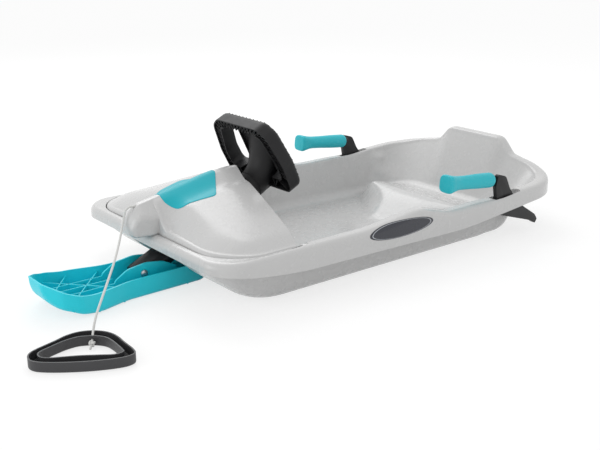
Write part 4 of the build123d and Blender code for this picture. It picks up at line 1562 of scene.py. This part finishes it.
# ------------------------------------------------------------------------------------------ steering
@dataclass
class SteeringWheel:
    """The wheel: a channelled rim open to the front with zigzag ribs, a sunk pad, a flared web and a hub."""

    half: float = 102.0
    top: float = 125.0
    bottom: float = 14.0
    depth: float = 30.0
    bar: float = 20.0
    wall: float = 2.6
    pad_half: float = 40.0
    pad_depth: float = 9.0
    hub_r: float = 27.0
    hub_length: float = 34.0
    bore_r: float = 22.0
    outer_round: float = 10.0
    hole_round: float = 4.0
    ribs: int = 52
    rib_wall: float = 1.5
    rib_top: float = -2.2
    low_foot: tuple = ((-62, -11), (-44, 11), (-62, 11), (44, -11), (62, 11), (44, 11))
    low_toe: tuple = ((-44, 11), (-32, -11), (-62, -11), (62, 11), (80, -11), (44, -11))
    web_half: float = 37.0
    web_tall: float = 52.0
    web_rise: float = 38.0
    web_reach: float = 52.0
    line: SteeringLine = field(default_factory=SteeringLine)

    def outline(self) -> np.ndarray:
        """The wheel's outline, anticlockwise.

        Returns:
            Array (n, 2).
        """
        w, t, b = self.half, self.top, self.bottom
        left = [(-0.62 * w, t), (-0.86 * w, 0.86 * t), (-w, 0.36 * t), (-0.96 * w, -b)]
        corners = left + [(-x, y) for x, y in reversed(left)]
        return evened(rounded_loop(corners, [22, 30, 40, 20, 20, 40, 30, 22], 10, 8), 240)

    def opening(self, side: int) -> np.ndarray:
        """One opening's outline, clockwise.

        Args:
            side: 1 for the left, -1 for the right.

        Returns:
            Array (n, 2).
        """
        inner = self.half - self.bar
        top = self.top - self.bar
        low = self.bottom
        corners = np.array(
            [(self.pad_half, top), (0.77 * inner, top), (inner, 0.36 * self.top), (0.97 * inner, low),
             (self.pad_half, low)]
        )
        loop = evened(rounded_loop(corners, [6, 13, 24, 10, 6], 10, 8), 120)
        return loop if side > 0 else (loop * np.array([-1.0, 1.0]))[::-1]

    def skirted(self, loop: np.ndarray, lip: np.ndarray, bend: float) -> np.ndarray:
        """Rows of a wall that turns over to the rear face: straight from its lip, then a quarter circle.

        Args:
            loop: Array (n, 2).
            lip: Place of the wall's lip along the axis at each point, 0 at the front.
            bend: Radius of the turn.

        Returns:
            The rows.
        """
        rear = -self.depth
        rise = rear + bend - lip
        made = [at_height(loop, lip + rise * share) for share in np.linspace(0, 1, 5, endpoint=False)]
        for inward, drop in quarter_turn(7):
            made.append(at_height(moved_left(loop, bend * inward), rear + bend * drop))
        return np.stack(made)

    def face(self, loops: list[np.ndarray]) -> Skin:
        """Fills the flat rear face between closed loops with triangles.

        Args:
            loops: Arrays (n, 3) in the wheel's own plane, the outer one first.

        Returns:
            Points and faces that point to the rear.
        """
        shape = bmesh.new()
        for loop in loops:
            verts = [shape.verts.new(p) for p in loop.tolist()]
            for first, second in zip(verts, verts[1:] + verts[:1]):
                shape.edges.new((first, second))
        bmesh.ops.triangle_fill(shape, edges=shape.edges, use_beauty=True, use_dissolve=False)
        shape.verts.index_update()
        points = np.array([v.co for v in shape.verts])
        faces = np.array([[v.index for v in f.verts] for f in shape.faces])
        a, b, c = points[faces[:, 0]], points[faces[:, 1]], points[faces[:, 2]]
        front = np.cross(b - a, c - a)[:, 2] > 0
        faces[front] = faces[front][:, ::-1]
        shape.free()
        return points, faces

    def rib_skins(self, outline: np.ndarray, place: Place) -> list[Skin]:
        """The zigzag ribs round the channel, and the crossing ones at its foot.

        Args:
            outline: The wheel's outline.
            place: Function from local points to the sled's frame.

        Returns:
            Points and faces of both sets.
        """
        outer = evened(moved_left(outline, self.wall - 0.3), 2 * self.ribs)
        inner = evened(moved_left(outline, self.bar - self.wall + 0.6), 2 * self.ribs)
        zigzag = np.where((np.arange(2 * self.ribs) % 2 == 0)[:, None], outer, inner)
        ends = np.roll(zigzag, -1, 0)
        above = (zigzag[:, 1] > 8) & (ends[:, 1] > 8)
        floor = -self.depth + self.wall - 0.4
        pairs = ((zigzag[above], ends[above]), (self.low_foot, self.low_toe))
        return [thin_walls(start, end, self.rib_wall, floor, self.rib_top, place) for start, end in pairs]

    def build(self) -> None:
        """Builds and dresses the wheel."""
        axis = self.line.axis()
        outline = self.outline()
        walls = [self.skirted(outline, np.zeros(len(outline)), self.outer_round)]
        for side in (1, -1):
            loop = self.opening(side)
            near_pad = 1 - smooth_step(self.pad_half + 2, self.pad_half + 12, np.abs(loop[:, 0]))
            walls.append(self.skirted(loop, -(self.depth - self.pad_depth) * near_pad, self.hole_round))
        parts = [(axis.place(rows), grid_faces(*rows.shape[:2], False, True)) for rows in walls]
        points, faces = self.face([rows[-1] for rows in walls])
        wheel = make_mesh("steering_wheel_body", [*parts, (axis.place(points), faces)])
        thicken(wheel, self.wall)
        bake(wheel, 40)
        ribs = make_mesh("wheel_ribs", self.rib_skins(outline, axis.place), weld=0.0001)
        face_outward(ribs)
        join(wheel, [ribs])
        join(wheel, [self.web(axis), self.hub(axis)])
        bake(wheel, 40)
        finish_piece(wheel, Body.STEERING, Finish.WHEEL, "wheel_charcoal", "steering_wheel")

    def web(self, axis: Axis) -> bpy.types.Object:
        """The flared web from the pad to the hub: ellipses that shrink and slide down to the hub's circle.

        Args:
            axis: The steering axis.

        Returns:
            The web.
        """
        t = np.linspace(0, 1, 18)[:, None]
        angle = np.linspace(0, 2 * math.pi, 72, endpoint=False)
        flare = (1 - t) ** 2.2
        neck = self.hub_r + 1
        side = (neck + (self.web_half - neck) * flare) * np.cos(angle)
        tall = neck + (self.web_tall - neck) * flare
        rise = np.maximum(self.web_rise * flare + tall * np.sin(angle), -self.hub_r)
        reach = np.broadcast_to(-self.depth + 1.2 + self.web_reach * t, side.shape)
        web = make_grid("wheel_web", np.stack([side, rise, reach], -1), axis.place)
        close_ends(web)
        face_outward(web)
        cut(web, make_rod(axis, self.bore_r, -40, 60, 64))
        return web

    def hub(self, axis: Axis) -> bpy.types.Object:
        """The hub: a turned sleeve with softened ends.

        Args:
            axis: The steering axis.

        Returns:
            The hub.
        """
        outer, inner, end, start = self.hub_r, self.bore_r, self.hub_length, -self.depth
        profile = [(inner, start + 0.4), (outer - 1, start + 0.4), (outer, start + 1.4), (outer, end - 1.5),
                   (outer - 0.5, end - 0.4), (outer - 1.5, end), (inner + 0.6, end), (inner, end - 0.6)]
        return make_solid("wheel_hub", turned(profile, axis, 96))


@dataclass
class SteeringColumn:
    """The round column and the flanged bearing that it turns in."""

    radius: float = 22.0
    bore: float = 17.0
    end: float = 315.0
    bearing_r: float = 26.0
    flange_r: float = 32.0
    bulkhead: float = 128.0
    sleeve_end: float = 186.0
    line: SteeringLine = field(default_factory=SteeringLine)

    def build(self) -> None:
        """Builds and dresses the column and its bearing."""
        axis = self.line.axis()
        outer, inner, end = self.radius, self.bore, self.end
        tube_line = [(inner, 1.0), (inner + 1, 0.0), (outer - 1.6, 0.0), (outer - 0.5, 0.5), (outer, 1.6),
                     (outer, end - 1.6), (outer - 0.5, end - 0.5), (outer - 1.6, end), (inner + 1, end),
                     (inner, end - 1)]
        column = make_solid("steering_column_tube", turned(tube_line, axis, 96))
        bake(column)
        cut(column, Bolt().bore(60))
        finish_piece(column, Body.STEERING, Finish.BLACK, "column_black", "steering_column")
        bore, body, lip = outer + 0.3, self.bearing_r, self.flange_r
        wall, start, end = self.bulkhead, self.bulkhead - 12, self.sleeve_end
        sleeve = [(bore, start + 0.8), (bore + 0.8, start), (body - 1, start), (body, start + 1),
                  (body, wall), (lip - 0.8, wall), (lip, wall + 0.8), (lip, wall + 3.2),
                  (lip - 0.8, wall + 4), (body + 1.5, wall + 4), (body, wall + 5.5), (body, end - 1),
                  (body - 1, end), (bore + 0.8, end), (bore, end - 0.8)]
        bearing = make_solid("column_bearing_sleeve", turned(sleeve, axis, 96))
        bake(bearing)
        finish_piece(bearing, Body.SLED, Finish.BLACK, "bearing_black", "column_bearing")


@dataclass
class Bolt:
    """The bolt that holds the ski to the column, and its nut."""

    x: float = 366.0
    z: float = 36.0
    radius: float = 4.0
    head_r: float = 7.0
    head: float = 5.0
    seat_y: float = 26.0
    nut: float = 6.0
    nut_flat: float = 6.6

    def axis(self, side: float = 1.0) -> Axis:
        """The bolt's axis, from the middle plane outwards."""
        return Axis((self.x, 0.0, self.z), (0.0, side, 0.0))

    def bore(self, half: float) -> bpy.types.Object:
        """A round cutter through the ski and the column."""
        return make_rod(self.axis(), self.radius, -half, half, 32)

    def build(self) -> None:
        """Builds and dresses the bolt and the nut."""
        seat, r, cap = self.seat_y, self.radius, self.head_r
        line = [(0, -seat - 8), (r - 0.8, -seat - 8), (r, -seat - 7.2), (r, seat), (cap, seat),
                (cap, seat + 1.4), (cap - 0.5, seat + 2.6), (cap - 1.8, seat + 3.9), (cap - 3.6, seat + 4.7),
                (0, seat + self.head)]
        bolt = make_solid("ski_bolt_turned", turned(line, self.axis(), 48, False))
        bake(bolt)
        finish_piece(bolt, Body.STEERING, Finish.STEEL, "bolt_steel", "ski_bolt")
        turn = np.arange(6) * math.pi / 3
        hexagon = np.column_stack([np.cos(turn), np.sin(turn)]) * (self.nut_flat / math.cos(math.pi / 6))
        nut = make_plate("ski_nut_hexagon", hexagon, seat, seat + self.nut, self.axis(-1.0).place)
        cut(nut, self.bore(60))
        bevel_edges(nut, 0.5)
        bake(nut)
        finish_piece(nut, Body.STEERING, Finish.STEEL, "bolt_steel", "ski_nut")


@dataclass
class Ski:
    """The front ski: a shallow ribbed trough with two cheeks that hold the column."""

    rear: float = 236.0
    wall: float = 3.0
    rib_top: float = 30.0
    bend: float = 10.0
    draft: float = 0.105
    bottom_x: tuple = (236, 246, 262, 300, 440, 468, 498, 522, 543, 555, 561)
    bottom_z: tuple = (10, 3.2, 0, 0, 0, 0.4, 4.2, 12, 20.5, 35, 50)
    rim_x: tuple = (236, 478, 500, 527, 545, 561)
    rim_z: tuple = (39, 39, 41, 47, 54.5, 62)
    half: tuple = ((561, 25), (537, 58), (509, 74), (465, 68), (411, 53), (236, 48))
    half_r: tuple = (18, 30, 30, 90, 120, 22)
    cheek: tuple = ((290, 2), (430, 2), (424, 34), (398, 50), (360, 55), (325, 50), (298, 36))
    cheek_r: tuple = (0.1, 0.1, 12, 30, 60, 30, 14)
    cheek_y: tuple = (22.4, 26.0)
    collar_r: tuple = (7.6, 11.0)
    middle: tuple = (270, 525)
    rib_front: float = 552.0
    rib_lines: tuple = (
        ((416, 0), (552, 0), 2.4),
        ((238, 0), (288, 0), 2.4),
        ((414, 24), (552, 24), 2.2),
        ((414, -24), (552, -24), 2.2),
        ((410, -62), (530, 70), 2.2),
        ((410, 62), (530, -70), 2.2),
        ((470, -72), (560, 40), 2.2),
        ((470, 72), (560, -40), 2.2),
        ((240, -46), (288, 46), 2.2),
        ((240, 46), (288, -46), 2.2),
    )

    def outline(self) -> np.ndarray:
        """The rim's outline, anticlockwise."""
        corners = self.half + tuple((x, -y) for x, y in self.half[::-1])
        return evened_halves(rounded_loop(corners, self.half_r + self.half_r[::-1], 12, 14), 150)

    def bottom(self, x: np.ndarray, y: np.ndarray | None = None) -> np.ndarray:
        """Height of the trough's underside, the same across the ski."""
        return fair_curve(self.bottom_x, self.bottom_z, x)

    def rows(self) -> np.ndarray:
        """Points (rows, columns, 3) down the wall, round its foot and in to the middle line.

        The wall leans in by the draft, and the foot is a quarter circle onto the bottom line.

        Returns:
            The rows.
        """
        plan = self.outline()
        rim = fair_curve(self.rim_x, self.rim_z, plan[:, 0])
        low = self.bottom(plan[:, 0])
        bend = np.minimum(self.bend, 0.45 * (rim - low))
        made = []
        for share in np.linspace(0, 1, 5, endpoint=False):
            height = rim + (low + bend - rim) * share
            made.append(at_height(moved_left(plan, self.draft * (rim - height)), height))
        foot = moved_left(plan, self.draft * (rim - low - bend))
        for inward, drop in quarter_turn(7):
            shifted = moved_left(foot, bend * inward)
            made.append(at_height(shifted, self.bottom(shifted[:, 0]) + bend * drop))
        start = made[-1][:, :2]
        made += drawn_in(start, middle_line(start, *self.middle), np.linspace(0, 1, 16)[1:], self.bottom)
        return np.stack(made)

    def rib(self, start: np.ndarray, end: np.ndarray, thickness: float) -> Skin:
        """One upright rib: a box section carried along its line, its foot on the trough's floor.

        Args:
            start: X and y of one end.
            end: X and y of the other end.
            thickness: Of the rib.

        Returns:
            Points and faces.
        """
        line = start + (end - start) * np.linspace(0, 1, 24)[:, None]
        run = (end - start) / np.linalg.norm(end - start)
        left = np.array([-run[1], run[0]]) * thickness / 2
        low = self.bottom(line[:, 0]) + self.wall - 0.6
        high = np.maximum(self.rib_top, low + 1.5)
        rising = [(left, low), (left, high - 0.5), (left * 0.6, high)]
        sides = rising + [(-shift, height) for shift, height in rising[::-1]]
        rows = np.stack([at_height(line + shift, height) for shift, height in sides], 1)
        return rows.reshape(-1, 3), grid_faces(24, 6, False, True)

    def inner_half(self, x: np.ndarray) -> np.ndarray:
        """Half the width between the walls, halfway up them.

        Args:
            x: X of each point.

        Returns:
            The half widths.
        """
        loop = self.outline()
        left = loop[: len(loop) // 2 + 1][::-1]
        return np.interp(x, left[:, 0], left[:, 1]) - self.wall - 1.2

    def ribs(self) -> bpy.types.Object:
        """The ribs: three lengthwise and crossing pairs, each kept where it lies between the walls.

        Returns:
            The ribs.
        """
        made = []
        for start, end, thickness in self.rib_lines:
            line = np.array(start) + (np.array(end) - np.array(start)) * np.linspace(0, 1, 400)[:, None]
            inside = np.abs(line[:, 1]) < self.inner_half(line[:, 0]) + 0.8
            inside &= (line[:, 0] < self.rib_front) & (line[:, 0] > self.rear + 3)
            kept = line[inside]
            made.append(self.rib(kept[0], kept[-1], thickness))
        ribs = make_mesh("ski_ribs", made, weld=0.0001)
        close_ends(ribs)
        face_outward(ribs)
        return ribs

    def cradle(self) -> bpy.types.Object:
        """The two cheeks, each with a collar round the bolt.

        Returns:
            The cheeks.
        """
        outline = rounded_loop(self.cheek, self.cheek_r, 8, 4)
        inner, outer = self.collar_r
        face = self.cheek_y[1]
        line = [(inner, face - 1), (inner, face + 2.0), (inner + 0.5, face + 2.5), (outer - 0.6, face + 2.5),
                (outer, face + 1.9), (outer, face - 1)]
        cheeks = []
        for side in (1, -1):
            cheek = make_plate("cheek", outline, *sorted(side * y for y in self.cheek_y), upright)
            join(cheek, [make_solid("collar", turned(line, Bolt().axis(side), 48))])
            cut(cheek, Bolt().bore(60))
            cheeks.append(cheek)
        join(cheeks[0], cheeks[1:])
        return cheeks[0]

    def build(self) -> None:
        """Builds and dresses the ski."""
        ski = make_grid("ski_trough", self.rows())
        thicken(ski, self.wall)
        bake(ski)
        join(ski, [self.ribs(), self.cradle()])
        bake(ski)
        finish_piece(ski, Body.STEERING, Finish.SKI, "ski_cyan", "ski")


# ------------------------------------------------------------------------------------------ brakes
@dataclass
class Brake:
    """One brake: a flat black lever, its soft cyan grip and the pin that it turns on."""

    name: str
    side: int
    body: Body
    lever_y: float = 237.0
    thickness: float = 9.0
    pivot: tuple = (-365.0, 82.0)
    pin_r: float = 3.0
    pin_half: float = 10.5
    grip_rear: tuple = (-341.0, 229.0, 133.0)
    grip_front: tuple = (-194.0, 229.0, 148.0)
    bar_r: float = 8.5
    grip_start: float = 12.0
    grip_flat: float = 0.97
    girth: tuple = (
        (0, 0.02, 0.08, 0.3, 0.6, 0.8, 0.9, 0.97, 1.0),
        (13.0, 14.6, 15.4, 15.2, 14.0, 14.4, 16.4, 18.2, 16.6),
    )
    dome: tuple = ((0.93, 0.3), (0.8, 0.6), (0.5, 0.84), (0.25, 0.9))
    corners: tuple = (
        (-338, 146), (-362, 139), (-376, 112), (-387, 98), (-399, 78), (-424, 64), (-466, 38), (-475, 26),
        (-469, 17), (-454, 26), (-350, 58), (-340, 80), (-332, 122),
    )
    radii: tuple = (4, 14, 20, 10, 10, 16, 10, 3, 3, 16, 10, 20, 6)

    def grip_axis(self) -> Axis:
        """The grip's axis, from its rear end forwards.

        Returns:
            The axis.
        """
        rear = np.array(self.grip_rear) * np.array([1, self.side, 1])
        front = np.array(self.grip_front) * np.array([1, self.side, 1])
        return Axis(tuple(rear), tuple(front - rear))

    def lever(self) -> None:
        """Builds the lever: the plate with a softened edge, and the bar inside the grip."""
        outline = rounded_loop(self.corners, self.radii, 8, 4)
        low = self.side * self.lever_y - self.thickness / 2
        plate = make_plate(f"brake_lever_{self.name}_arm", outline, low, low + self.thickness, upright)
        r = self.bar_r
        line = [(0, 0.5), (r - 1, 0.5), (r, 1.5), (r, 120), (0, 120)]
        combine(plate, make_solid("bar", turned(line, self.grip_axis(), 40, False)), Combine.UNITE)
        cut(plate, make_rod(self.pin_axis(), self.pin_r + 0.15, -30, 30, 32))
        bevel_edges(plate, 1.4, 3)
        bake(plate)
        finish_piece(plate, self.body, Finish.BLACK, "lever_black", f"brake_lever_{self.name}")

    def pin_axis(self) -> Axis:
        """The pin's axis, through the lever's middle plane."""
        x, z = self.pivot
        return Axis((x, self.side * self.lever_y, z), (0.0, 1.0, 0.0))

    def pin(self) -> None:
        """Builds the pin: a turned bar with softened ends."""
        r, end = self.pin_r, self.pin_half
        line = [(0, -end), (r - 0.6, -end), (r, -end + 0.6), (r, end - 0.6), (r - 0.6, end), (0, end)]
        pin = make_solid(f"brake_pin_{self.name}_turned", turned(line, self.pin_axis(), 40, False))
        bake(pin)
        finish_piece(pin, Body.SLED, Finish.STEEL, "pin_steel", f"brake_pin_{self.name}")

    def grip_rows(self) -> np.ndarray:
        """Points (rows, around, 3) of the grip: sections that go from round to nearly square.

        The radius is a fair line along the grip and each section is a superellipse: its corner distance
        grows with the power p, from 2, a circle, to 3.6 at the front. Domed rings close both ends.

        Returns:
            The rows.
        """
        length = float(np.linalg.norm(np.array(self.grip_front) - np.array(self.grip_rear)))
        t = np.linspace(0, 1, 46)[:, None]
        power = 2 + 1.6 * smooth_step(0.7, 0.95, t)
        angle = np.linspace(0, 2 * math.pi, 56, endpoint=False)
        span = (np.abs(np.cos(angle)) ** power + np.abs(np.sin(angle)) ** power) ** (-1 / power)
        radius = fair_curve(*self.girth, t) * span
        reach = np.broadcast_to(self.grip_start + (length - self.grip_start) * t, radius.shape)
        rows = np.stack([radius * np.cos(angle) * self.grip_flat, radius * np.sin(angle), reach], -1)
        ends = []
        for ring, sign in ((rows[0], 1), (rows[-1], -1)):
            domed = [ring * (share, share, 1) - (0, 0, sign * depth) for share, depth in self.dome]
            domed.append(np.tile(domed[-1].mean(0), (len(angle), 1)))
            ends.append(domed)
        return np.concatenate([ends[0][::-1], rows, ends[1]])

    def grip(self) -> None:
        """Builds the grip and its bore."""
        axis = self.grip_axis()
        grip = make_grid(f"brake_grip_{self.name}_sleeve", self.grip_rows(), axis.place)
        face_outward(grip)
        bake(grip, 60)
        cut(grip, make_rod(axis, self.bar_r + 0.1, -5, 121, 40))
        finish_piece(grip, self.body, Finish.GRIP, "grip_cyan", f"brake_grip_{self.name}")

    def build(self) -> None:
        """Builds and dresses the brake."""
        self.lever()
        self.pin()
        self.grip()


# ------------------------------------------------------------------------------------------ tow line
@dataclass
class PullHandle:
    """The pull handle: a channelled loop lying on the ground, open upwards, with ribs across its channel."""

    x: float = 593.0
    y: float = 240.0
    turn: float = 150.76
    height: float = 18.0
    wall: float = 2.4
    bend: float = 4.0
    rib_wall: float = 2.0
    cord_hole: float = 2.9
    levels: tuple = (0.0, 0.8, 5.4, 9.9)
    outer: tuple = (
        (78, 10), (74, 26), (67, 40), (60, 54), (53, 69.5), (43, 85), (30, 96), (14, 102), (-2, 103),
        (-17, 99), (-32, 89), (-45, 74.5), (-60, 59.5), (-73, 46), (-80.5, 35), (-82.5, 22), (-79, 10),
        (-70, 2), (-56, -3), (-34, -7), (-5, -9.5), (25, -9.5), (54, -6), (70, 0),
    )
    hole: tuple = (
        (58, 17), (56, 26), (49, 42), (41, 58), (31, 72), (17, 79.5), (3, 81.5), (-12, 80), (-27, 72),
        (-40, 61), (-54, 47), (-64, 36), (-66, 26), (-60, 17), (-48, 13.5), (-34, 13.5), (-5, 14),
        (25, 11.5), (46, 10),
    )
    ribs: tuple = (8, 30, 78, 104, 128, 150, 166, 182, 214)

    def place(self, local: np.ndarray) -> np.ndarray:
        """Takes local points (along the bar, towards the apex, up) to the sled's frame.

        Args:
            local: Array (n, 3).

        Returns:
            Array (n, 3).
        """
        local = np.asarray(local, float).reshape(-1, 3)
        c, s = math.cos(math.radians(self.turn)), math.sin(math.radians(self.turn))
        x = self.x + local[:, 0] * c - local[:, 1] * s
        y = self.y + local[:, 0] * s + local[:, 1] * c
        return np.column_stack([x, y, local[:, 2]])

    def rows(self, outer: np.ndarray, hole: np.ndarray) -> np.ndarray:
        """Points (rows, columns, 3) down the outer wall, under the channel and up the inner wall.

        Args:
            outer: Array (n, 2), the outer outline.
            hole: Array (n, 2), the inner one, matched point for point.

        Returns:
            The rows.
        """
        falling = [self.height - drop for drop in self.levels]
        turns = quarter_turn(6)
        made = [at_height(outer, z) for z in (*falling, self.bend)]
        made += [at_height(moved_left(outer, self.bend * i), self.bend * d) for i, d in turns[1:]]
        made += [at_height(moved_left(hole, -self.bend * i), self.bend * d) for i, d in turns[::-1]]
        return np.stack(made + [at_height(hole, z) for z in falling[::-1]])

    def build(self, hole_from: tuple, hole_to: tuple) -> None:
        """Builds and dresses the handle.

        Args:
            hole_from: Where the cord's knot is.
            hole_to: The next point of the cord.
        """
        outer, hole = (evened(fair_loop(points), 240) for points in (self.outer, self.hole))
        handle = make_grid("pull_handle_loop", self.rows(outer, hole), self.place)
        thicken(handle, self.wall)
        bake(handle)
        near = moved_left(outer, self.wall - 0.3)[list(self.ribs)]
        far = self.matched(near, hole)
        slim = thin_walls(near, far, self.rib_wall, self.wall - 0.4, self.height - 4.0, self.place)
        ribs = make_mesh("handle_ribs", [slim], weld=0.0001)
        face_outward(ribs)
        join(handle, [ribs])
        reach = np.array(hole_to, float) - np.array(hole_from, float)
        cut(handle, make_rod(Axis(hole_from, tuple(reach)), self.cord_hole, 4, 26, 24))
        finish_piece(handle, Body.SLED, Finish.HANDLE, "handle_charcoal", "pull_handle")

    def matched(self, points: np.ndarray, loop: np.ndarray) -> np.ndarray:
        """For each point, the nearest point of a loop grown by a wall's width.

        Args:
            points: Array (n, 2).
            loop: Array (n, 2).

        Returns:
            Array (n, 2).
        """
        grown = moved_left(loop, -(self.wall - 0.3))
        gap = np.linalg.norm(points[:, None] - grown[None], axis=2)
        return grown[gap.argmin(1)]


@dataclass
class TowCord:
    """The limp white cord from the knot inside the nose to the knot inside the handle's loop."""

    radius: float = 2.0
    knot_scale: tuple = (1.33, 1.33, 2.0)
    length_m: float = 0.325
    route: tuple = (
        (350.0, 0.0, 149.6),
        (379.0, 0.0, 163.0),
        (389.0, 1.0, 129.5),
        (409.0, 24.6, 108.0),
        (434.6, 51.9, 84.4),
        (458.3, 76.9, 70.1),
        (492.0, 112.5, 51.0),
        (523.0, 145.5, 34.0),
        (538.4, 162.9, 13.0),
        (548.2, 180.5, 8.0),
    )
    tail_to: tuple = (555.1, 186.7, 2.4)

    def line(self) -> bpy.types.Object:
        """The cord's own curve through its route.

        Returns:
            The cord.
        """
        data = bpy.data.curves.new("tow_cord_line", "CURVE")
        data.dimensions = "3D"
        data.bevel_depth = self.radius * MM
        data.bevel_resolution = 5
        data.resolution_u = 16
        data.use_fill_caps = True
        spline = data.splines.new("NURBS")
        spline.points.add(len(self.route) - 1)
        flat = [value for x, y, z in self.route for value in (x * MM, y * MM, z * MM, 1.0)]
        spline.points.foreach_set("co", flat)
        spline.order_u = 3
        spline.use_endpoint_u = True
        return linked("tow_cord_line", data)

    def knot(
        self, name: str, centre: tuple, toward: tuple, tail: tuple | None = None
    ) -> bpy.types.Object:
        """A tight overhand knot: a tube along a trefoil, whose axis lies along the cord.

        The trefoil at angle t is (sin t + 2 sin 2t, cos t - 2 cos 2t, -sin 3t), scaled to the knot.

        Args:
            name: The piece's name.
            centre: Where the knot is.
            toward: The next point of the cord.
            tail: Where its loose end reaches, if it has one.

        Returns:
            The knot.
        """
        t = np.linspace(0, 2 * math.pi, 96, endpoint=False)
        side = np.sin(t) + 2 * np.sin(2 * t)
        rise = np.cos(t) - 2 * np.cos(2 * t)
        trefoil = np.column_stack([side, rise, -np.sin(3 * t)])
        start = np.array(centre, float)
        path = Axis(centre, tuple(np.array(toward, float) - start)).place(trefoil * self.knot_scale)
        shut = np.concatenate([path, path[:1]])
        parts = [tube(shut, np.full(len(shut), self.radius * 0.96), 14)]
        if tail is not None:
            line = start + (np.array(tail, float) - start) * np.linspace(0, 1, 12)[:, None]
            girth = self.radius * np.concatenate([np.full(9, 0.86), [0.9, 0.95, 0.7]])
            parts.append(tube(line, girth, 14))
        knot = make_mesh(name, parts)
        close_ends(knot)
        face_outward(knot)
        bake(knot, 60)
        return knot

    def build(self) -> None:
        """Builds and dresses the cord and its knots."""
        cord = self.line()
        finish_piece(cord, Body.SLED, Finish.CORD, "cord_white", "tow_cord")
        first = self.knot("tow_knot_nose_tied", self.route[0], self.route[1])
        finish_piece(first, Body.SLED, Finish.CORD, "cord_white", "tow_knot_nose")
        last = self.knot("tow_knot_handle_tied", self.route[-1], self.route[-2], self.tail_to)
        finish_piece(last, Body.SLED, Finish.CORD, "cord_white", "tow_knot_handle")
        tuple(np.array(self.route[0]) * MM)


def main() -> None:
    """Builds every piece in order and reports it."""
    logging.basicConfig(level=logging.INFO, format="%(name)s: %(message)s")
    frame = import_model()
    log.info("frame with %d nodes", len(frame["nodes"]) if "nodes" in frame else 0)
    Studio().build()
    cord = TowCord()
    PullHandle().build(cord.route[-1], cord.route[-2])
    cord.build()
    hull = Hull()
    hull.build()
    Cowl().build()
    SideLabel().build(hull)
    SteeringWheel().build()
    SteeringColumn().build()
    Ski().build()
    Bolt().build()
    Brake("left", 1, Body.BRAKE_LEFT).build()
    Brake("right", -1, Body.BRAKE_RIGHT).build()


if __name__ == "__main__":
    main()
